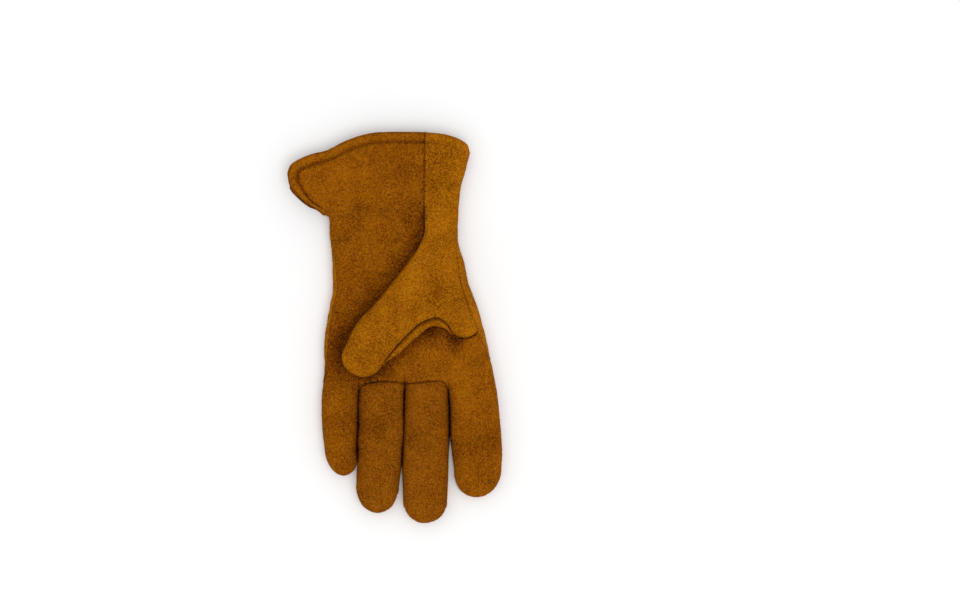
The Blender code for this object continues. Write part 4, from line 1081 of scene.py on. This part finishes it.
def makePanel(panel):
    # one cut piece of hide: its sheet, relief along the normals, then its wall
    mesh = gridMesh(panel["name"], panel["grids"])
    points, normals, edges, border = meshArrays(mesh)
    facing = -1 if panel["under"] else 1
    if normals[:, 2].sum() * facing < 0:
        mesh.flip_normals()
        points, normals, edges, border = meshArrays(mesh)
    x, y = points[:, 0], points[:, 1]
    rim = np.zeros(len(points), bool)
    rim[edges[border].ravel()] = True
    sewn = rim & ~onHem(x, y)
    away = nearest(points, points[sewn])
    hem = hemAway(x, y, panel["under"])
    ended = hemFade(x, y) * panel["hem"]
    height = reliefOf(panel, points, away, hem, ended)
    shade = shadeOf(panel, points, away, hem, ended)
    if panel["name"] == "back":
        legs = bell(fromZigzag(x, y), 0, elastic["grooveWidth"]) * (normals[:, 2] < -0.5)
        height -= elastic["groove"] * legs
        # painted shadow on the back beside the vent, and painted shade in the zigzag's groove
        ventShadow = np.exp(-nearLine(x, y, peeking(ventEdge))[0] / shades["ventOver"])
        shade = shade - shades["vent"] * ventShadow - shades["legs"] * legs
    gap = hide["seamGap"]
    for start, over, amount in hide["overlaps"]:
        gap = gap - amount * ramp((y - start) / over)
    into = inwardWays(points, normals, edges, border)
    points = points + normals * height[:, None] + into * (sewn * gap)[:, None]
    points[:, 2] = np.maximum(points[:, 2], 0.0)
    points -= np.array((*lay["middle"], 0.0))
    mesh.vertices.foreach_set("co", (points * mm).ravel())
    mesh.attributes.new("shade", "FLOAT", "POINT").data.foreach_set("value", shade.astype(np.float32))
    mesh.update()
    piece = link(panel["name"] + "_hide", mesh, panel["material"])
    addWall(piece, hem)
    areas = np.empty(len(mesh.polygons))
    mesh.polygons.foreach_get("area", areas)
    print("panel", panel["name"], len(mesh.vertices), "points", round(areas.sum(), 5), "m2")
    settle(piece)
    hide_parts(panel["name"])
    return piece, points, normals


suedeLook = {
    "speck": (1500.0, 3.0, 0.65),   # each noise's scale per metre, detail and roughness
    "fleck": (700.0, 2.0, 0.6),
    "mottle": (95.0, 3.0, 0.55),
    "cloud": (28.0, 2.0, 0.5),
    "range": (0.3, 0.7),        # the part of each noise that is used
    "speckTone": 0.62,          # how far each moves the tone up or down
    "fleckTone": 0.28,
    "mottleTone": 0.12,
    "cloudTone": 0.13,
    "contrast": 0.6,            # of all tones together, and the tone that they stand around
    "tone": 0.7,
    "black": (0.03, 0.02, 0.1), # shares of the colour, from the darkest tone to the lightest
    "dark": (0.45, 0.36, 0.6),
    "light": (1.6, 1.75, 2.2),
    "darkAt": 0.4,              # tones at which the colour is dark and whole
    "wholeAt": 0.7,
    "speckRise": 0.6,           # shares of speck and fleck in the bump, its strength and depth
    "fleckRise": 0.7,
    "bump": 0.55,
    "depth": 0.3,
    "roughness": 0.95,
    "gloss": (0.01, 0.6),       # specular level of a rough hide, and what smoothness adds
}


def noiseNode(tree, look, place):
    # a noise of one size, about 0.5 on average
    scale, detail, rough = look
    node = tree.nodes.new("ShaderNodeTexNoise")
    node.inputs["Scale"].default_value = scale
    node.inputs["Detail"].default_value = detail
    node.inputs["Roughness"].default_value = rough
    tree.links.new(place, node.inputs["Vector"])
    return node.outputs["Fac"]


def spread(tree, value, low, high, toLow, toHigh):
    # straight line through (low, toLow) and (high, toHigh), held level outside
    node = tree.nodes.new("ShaderNodeMapRange")
    for name, number in (("From Min", low), ("From Max", high), ("To Min", toLow), ("To Max", toHigh)):
        node.inputs[name].default_value = number
    tree.links.new(value, node.inputs["Value"])
    return node.outputs["Result"]


def combine(tree, operation, a, b):
    # sum, product or the like of two values; b may be a number
    node = tree.nodes.new("ShaderNodeMath")
    node.operation = operation
    tree.links.new(a, node.inputs[0])
    if isinstance(b, float):
        node.inputs[1].default_value = b
    else:
        tree.links.new(b, node.inputs[1])
    return node.outputs["Value"]


def suedeFinish(name, colour, grain=1.0, smoothness=0.0):
    # napped hide: specks and flecks over soft mottling and clouds, dark red-brown to pale gold, moved darker or
    # lighter by the painted shade and highlight that each point carries
    look = suedeLook
    material = bpy.data.materials.new(name)
    material.use_nodes = True
    tree = material.node_tree
    shader = tree.nodes["Principled BSDF"]
    place = tree.nodes.new("ShaderNodeTexCoord").outputs["Object"]
    speck, fleck, mottle, cloud = (noiseNode(tree, look[size], place)
                                   for size in ("speck", "fleck", "mottle", "cloud"))
    low, high = look["range"]
    speckTone, fleckTone = look["speckTone"] * grain, look["fleckTone"] * grain
    tone = combine(tree, "ADD", spread(tree, speck, low, high, -speckTone, speckTone),
                   spread(tree, fleck, low, high, -fleckTone, fleckTone))
    tone = combine(tree, "ADD", tone, spread(tree, mottle, low, high, -look["mottleTone"], look["mottleTone"]))
    tone = combine(tree, "ADD", tone, spread(tree, cloud, low, high, -look["cloudTone"], look["cloudTone"]))
    # painted shade and highlight: each point's "shade" value moves the tone down or up
    paintedShade = tree.nodes.new("ShaderNodeAttribute")
    paintedShade.attribute_name = "shade"
    tone = combine(tree, "ADD", tone, paintedShade.outputs["Fac"])
    tone = combine(tree, "ADD", combine(tree, "MULTIPLY", tone, look["contrast"]), look["tone"])
    steps = tree.nodes.new("ShaderNodeValToRGB")
    steps.color_ramp.elements.new(look["darkAt"])
    steps.color_ramp.elements.new(look["wholeAt"])
    black, dark, middle, light = steps.color_ramp.elements
    black.color = (*(np.array(colour) * look["black"]), 1)
    dark.color = (*(np.array(colour) * look["dark"]), 1)
    middle.color = (*colour, 1)
    light.color = (*(np.array(colour) * look["light"]), 1)
    tree.links.new(tone, steps.inputs["Fac"])
    tree.links.new(steps.outputs["Color"], shader.inputs["Base Color"])
    rise = combine(tree, "ADD", combine(tree, "MULTIPLY", speck, look["speckRise"]),
                   combine(tree, "MULTIPLY", fleck, look["fleckRise"]))
    bump = tree.nodes.new("ShaderNodeBump")
    bump.inputs["Strength"].default_value = look["bump"] * grain
    bump.inputs["Distance"].default_value = look["depth"] * mm
    tree.links.new(rise, bump.inputs["Height"])
    tree.links.new(bump.outputs["Normal"], shader.inputs["Normal"])
    shader.inputs["Roughness"].default_value = look["roughness"] - smoothness
    shader.inputs["Specular IOR Level"].default_value = look["gloss"][0] + smoothness * look["gloss"][1]
    return material


palmHide = suedeFinish("palmHide", (0.242, 0.071, 0.0018))
fingerHide = suedeFinish("fingerHide", (0.212, 0.0615, 0.0020))
thumbHide = suedeFinish("thumbHide", (0.290, 0.093, 0.0020))
backHide = suedeFinish("backHide", (0.305, 0.098, 0.0028), 0.9)
stripHide = suedeFinish("stripHide", (0.400, 0.150, 0.0075), 0.5, 0.15)

fronts = {name: frontGrid(name) for name in fingers}
plain = {"under": False, "roll": hide["roll"], "hem": 1.0, "uneven": 1.0, "sink": 0.0, "slot": "suede"}
between = {**plain, "material": stripHide, "under": True, "roll": -0.4, "uneven": 0.5, "slot": "strip_suede"}
panels = [
    {**plain, "name": "palm", "grids": palmGrids(fronts), "material": palmHide, "seed": 1},
    {**plain, "name": "ring_front", "grids": [fronts["ring"]], "material": fingerHide, "seed": 21},
    {**plain, "name": "middle_front", "grids": [fronts["middle"]], "material": fingerHide, "seed": 31},
    {**plain, "name": "thumb_outer", "grids": thumbOuterGrids(), "material": thumbHide, "seed": 41, "hem": 0.4},
    {**plain, "name": "thumb_inner", "grids": thumbInnerGrids(), "material": thumbHide, "seed": 51,
     "under": True, "roll": 0.5, "uneven": 0.25},
    {**plain, "name": "back", "grids": backGrids(), "material": backHide, "seed": 61,
     "under": True, "roll": 0.2, "uneven": 0.8, "sink": 0.2},
]
for crotch, seed in (("little_ring", 71), ("ring_middle", 81), ("middle_index", 91)):
    panels.append({**between, "name": "strip_" + crotch, "grids": stripGrids(crotch, *crotch.split("_")),
                   "seed": seed})
made = {panel["name"]: makePanel(panel) for panel in panels}

stitch = {
    "length": 2.3,
    "pitch": 3.0,
    "radius": 0.2,
    "end": 0.004,               # share of that left at a stitch's ends, squared
    "arch": 0.22,               # how far its ends dip
    "rings": 7,
    "sides": 6,
    "first": 4.0,               # how far from the ends of an edge the stitches start and stop
    "last": 3.0,
    "reach": 1.0,               # a stitch is left out where the hide is further off than this,
    "off": 0.3,                 # where the hem is not this near to its full width,
    "leastY": 84.0,             # or below this
    "perLeg": 3,                # stitches in each leg of the zigzag
}
fibre = {
    "count": 36000,
    "length": 0.55,
    "spread": 0.35,             # of the lengths, as a share
    "width": 0.09,
    "lean": 0.5,
    "apart": 0.35,              # scatter of the roots about the hide's own points
    "sunk": 0.15,               # how deep they start in the hide
    "flat": 0.12,               # likelihood on flat places; upright ones have 1 more
    "side": 0.4,                # how far off upright that still holds
    "above": 0.6,               # none grows nearer the table than this
    "seed": 101,
}


def threadMesh(name, centres, normals, ways, lengths):
    # short arched capsules: a circle carried along each stitch and closed at both ends
    ways = ways - normals * (ways * normals).sum(1, keepdims=True)
    ways /= np.linalg.norm(ways, axis=1, keepdims=True)
    across = np.cross(normals, ways)
    t = np.linspace(-1, 1, stitch["rings"])[None, :, None, None]
    turn = np.linspace(0, 2 * np.pi, stitch["sides"], endpoint=False)[None, None, :, None]
    radius = stitch["radius"] * np.sqrt(np.clip(1 - t ** 8, stitch["end"], 1))
    rise = -stitch["arch"] * t * t
    shape = [v[:, None, None] for v in (centres, normals, ways, across)]
    points = (shape[0] + shape[2] * t * lengths[:, None, None, None] / 2 + shape[3] * radius * np.cos(turn)
              + shape[1] * (rise + radius * np.sin(turn)))
    points[..., 2] = np.maximum(points[..., 2], 0.0)
    rings, sides = stitch["rings"], stitch["sides"]
    ends = (np.arange(rings - 1)[:, None] * sides + np.arange(sides)).ravel()
    after = (np.arange(rings - 1)[:, None] * sides + (np.arange(sides) + 1) % sides).ravel()
    tube = np.stack([ends, after, after + sides, ends + sides], axis=1)
    first = np.arange(len(centres))[:, None, None] * rings * sides
    faces = (tube[None] + first).reshape(-1, 4).tolist()
    caps = np.stack([np.arange(sides)[::-1], np.arange(sides) + (rings - 1) * sides])
    faces += (caps[None] + first).reshape(-1, sides).tolist()
    mesh = bpy.data.meshes.new(name)
    mesh.from_pydata((points.reshape(-1, 3) * mm).tolist(), [], faces)
    return mesh


def onSurface(name, x, y, upward):
    # the place on a piece nearest to each point of the plan, the way it faces, and how far off it is
    points, normals = made[name][1:]
    right = np.flatnonzero(normals[:, 2] * upward > 0.3)
    target = np.stack([x, y], axis=1) + lay["middle"] * np.array((-1, -1))
    gap = np.hypot(*(points[right][None, :, :2] - target[:, None]).transpose(2, 0, 1))
    index = right[gap.argmin(1)]
    return points[index], normals[index], gap.min(1)


def hemStitches(name, edge, upward):
    # stitches follow the hem's groove, a hem's width in from the edge
    line = along(edge, np.linspace(0, 1, 400))
    run = np.concatenate([[0.0], np.cumsum(np.linalg.norm(np.diff(line, axis=0), axis=1))])
    at = np.arange(stitch["first"], run[-1] - stitch["last"], stitch["pitch"])
    place = np.stack([np.interp(at, run, line[:, k]) for k in (0, 1)], axis=1)
    way = np.stack([np.gradient(np.interp(at, run, line[:, k])) for k in (0, 1)], axis=1)
    way /= np.linalg.norm(way, axis=1, keepdims=True)
    inward = np.stack([way[:, 1], -way[:, 0]], axis=1)
    place = place + inward * hide["hemWidth"]
    points, normals, gap = onSurface(name, place[:, 0], place[:, 1], upward)
    hem = hemAway(place[:, 0], place[:, 1], upward < 0)
    keep = gap < stitch["reach"]
    keep &= (np.abs(hem - hide["hemWidth"]) < stitch["off"]) & (place[:, 1] > stitch["leastY"])
    way = np.pad(way, ((0, 0), (0, 1)))
    return points[keep], normals[keep], way[keep], np.full(keep.sum(), stitch["length"])


def zigzagStitches():
    # each leg of the zigzag goes half a pitch across and a height up or down, in a few stitches
    half, perLeg = elastic["pitch"] / 2, stitch["perLeg"]
    count = 2 * elastic["zigs"] * perLeg
    legX = elastic["start"] + half * (np.arange(count) + 0.5) / perLeg
    upDown = np.where(np.arange(count) // perLeg % 2 == 0, -1, 1) * elastic["height"]
    points, normals = onSurface("back", legX, zigzag(legX), -1)[:2]
    way = np.stack([np.full(count, half), upDown, np.zeros(count)], axis=1)
    return points, normals, way, np.full(count, stitch["length"])


def threadPiece(name, groups):
    # several rows of stitches as one piece
    joined = [np.concatenate(parts) for parts in zip(*groups)]
    piece = link(name, threadMesh(name, *joined), threadFinish)
    return piece


def fibreMesh(name, share, seed):
    # the nap's loose fibres, each a closed spike of four faces that leans its own way
    points, normals = made[name][1:]
    draw = np.random.default_rng(seed)
    weight = fibre["flat"] + bell(normals[:, 2], 0, fibre["side"])
    weight *= points[:, 2] > fibre["above"]
    pick = draw.choice(len(points), int(fibre["count"] * share), p=weight / weight.sum())
    root, out = points[pick], normals[pick]
    root = root + draw.normal(0, fibre["apart"], root.shape) * (1 - np.abs(out))
    way = out + draw.normal(0, fibre["lean"], out.shape)
    way /= np.linalg.norm(way, axis=1, keepdims=True)
    length = fibre["length"] * np.exp(fibre["spread"] * draw.normal(0, 1, len(pick)))
    first = np.cross(way, draw.normal(0, 1, out.shape))
    first *= fibre["width"] / 2 / np.linalg.norm(first, axis=1, keepdims=True)
    second = np.cross(way, first)
    root = root - out * fibre["sunk"]
    corners = [root + first * np.cos(a) + second * np.sin(a) for a in 2 * np.pi * np.arange(3) / 3]
    spikes = np.stack(corners + [root + way * length[:, None]], axis=1)
    spikes[..., 2] = np.maximum(spikes[..., 2], 0.0)
    start = 4 * np.arange(len(pick))[:, None, None]
    faces = (np.array(((0, 2, 1), (0, 1, 3), (1, 2, 3), (2, 0, 3)))[None] + start).reshape(-1, 3)
    return spikes.reshape(-1, 3), faces


def napPiece(name, shares):
    # the fibres of all panels as one piece, each panel with its share of them
    parts = [fibreMesh(panel, share, fibre["seed"] + k) for k, (panel, share) in enumerate(shares.items())]
    counts = np.cumsum([0] + [len(part[0]) for part in parts])
    points = np.concatenate([part[0] for part in parts])
    faces = np.concatenate([part[1] + count for part, count in zip(parts, counts)])
    mesh = bpy.data.meshes.new(name)
    mesh.from_pydata((points * mm).tolist(), [], faces.tolist())
    piece = link(name, mesh, napFinish)
    return piece


threadFinish = suedeFinish("thread", (0.16, 0.055, 0.006), 0.5, 0.3)
napFinish = suedeFinish("nap", (0.290, 0.098, 0.0035), 0.4)
wholeMouth = ventEdge[::-1] + mouthEdge[1:]
threadPiece("hem_thread", [hemStitches("palm", wholeMouth, 1),
                           hemStitches("thumb_outer", thumbMouthEdge, 1),
                           hemStitches("back", tuple(map(tuple, peeking(wholeMouth))), -1),
                           hemStitches("back", thumbMouthEdge, -1)])
threadPiece("elastic_thread", [zigzagStitches()])
napPiece("nap_fibres", {"palm": 0.34, "ring_front": 0.08, "middle_front": 0.08, "thumb_outer": 0.16,
                        "thumb_inner": 0.05, "back": 0.26, "strip_little_ring": 0.01, "strip_ring_middle": 0.01,
                        "strip_middle_index": 0.01})
print("thread and nap are on")

# the cut of each piece, laid flat, in metres
cuts = {
    "palm": {"flat": (0.142, 0.240), "area": 0.0180, "rests": ["back"]},
    "ring_front": {"flat": (0.037, 0.093), "area": 0.0032, "rests": ["back"]},
    "middle_front": {"flat": (0.038, 0.101), "area": 0.0035, "rests": ["back"]},
    "thumb_outer": {"flat": (0.105, 0.195), "area": 0.0066, "rests": ["thumb_inner", "back"]},
    "thumb_inner": {"flat": (0.044, 0.098), "area": 0.0035, "rests": ["palm"]},
    "back": {"flat": (0.160, 0.262), "area": 0.0258, "rests": ["table"]},
    "strip_little_ring": {"flat": (0.010, 0.132), "area": 0.0010, "rests": ["table"]},
    "strip_ring_middle": {"flat": (0.010, 0.172), "area": 0.0013, "rests": ["table"]},
    "strip_middle_index": {"flat": (0.010, 0.154), "area": 0.0012, "rests": ["table"]},
}
for name, cut in cuts.items():
    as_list(cut["rests"])
print("the cut of", len(cuts), "pieces is stated")

stage = {
    "floorHalf": 3.0,
    "floorTone": 0.96,
    "floorGlow": 0.04,          # what the floor adds to its own tone where it is seen
    "camera": (0.0566, 0.0174, 1.5),    # straight above, looking down
    "lens": 85.8,
    "world": 0.86,              # strength of the light from all round
    "key": 9.0,                 # watts of the one soft lamp
    "keyPlace": (0.55, -0.6, 1.9),
    "keySize": 1.4,
}


def whiteFloor():
    # a pale matt floor that keeps shadows and is seen as white
    material = bpy.data.materials.new("paper")
    material.use_nodes = True
    tree = material.node_tree
    shader = tree.nodes["Principled BSDF"]
    shader.inputs["Base Color"].default_value = (*[stage["floorTone"]] * 3, 1)
    shader.inputs["Roughness"].default_value = 1.0
    shader.inputs["Specular IOR Level"].default_value = 0.0
    seen = tree.nodes.new("ShaderNodeLightPath")
    glow = tree.nodes.new("ShaderNodeEmission")
    total = tree.nodes.new("ShaderNodeAddShader")
    anyRay = combine(tree, "MAXIMUM", seen.outputs["Is Camera Ray"], seen.outputs["Is Glossy Ray"])
    anyRay = combine(tree, "MAXIMUM", anyRay, seen.outputs["Is Transmission Ray"])
    tree.links.new(combine(tree, "MULTIPLY", anyRay, stage["floorGlow"]), glow.inputs["Strength"])
    tree.links.new(shader.outputs["BSDF"], total.inputs[0])
    tree.links.new(glow.outputs["Emission"], total.inputs[1])
    tree.links.new(total.outputs["Shader"], tree.nodes["Material Output"].inputs["Surface"])
    return material


half = stage["floorHalf"]
floorMesh = bpy.data.meshes.new("table")
floorMesh.from_pydata([(-half, -half, 0), (half, -half, 0), (half, half, 0), (-half, half, 0)], [], [(0, 1, 2, 3)])
floorMesh.materials.append(whiteFloor())
floor = bpy.data.objects.new("table", floorMesh)
bpy.context.scene.collection.objects.link(floor)

world = bpy.data.worlds.new("studio")
bpy.context.scene.world = world
world.use_nodes = True
sky = world.node_tree
background = sky.nodes["Background"]
background.inputs["Color"].default_value = (1, 1, 1, 1)
path = sky.nodes.new("ShaderNodeLightPath")
seenRay = combine(sky, "MAXIMUM", path.outputs["Is Camera Ray"], path.outputs["Is Transmission Ray"])
sky.links.new(spread(sky, seenRay, 0.0, 1.0, stage["world"], 1.0), background.inputs["Strength"])

lamp = bpy.data.lights.new("softbox", "AREA")
lamp.shape = "DISK"
lamp.size = stage["keySize"]
lamp.energy = stage["key"]
lampObject = bpy.data.objects.new("softbox", lamp)
lampObject.location = stage["keyPlace"]
lampObject.rotation_euler = (-Vector(stage["keyPlace"])).to_track_quat("-Z", "Y").to_euler()
bpy.context.scene.collection.objects.link(lampObject)

lens = bpy.data.cameras.new("camera")
lens.lens = stage["lens"]
camera = bpy.data.objects.new("camera", lens)
camera.location = stage["camera"]
bpy.context.scene.collection.objects.link(camera)
bpy.context.scene.camera = camera
bpy.context.scene.view_settings.view_transform = "Standard"

print("floor, light and camera stand")
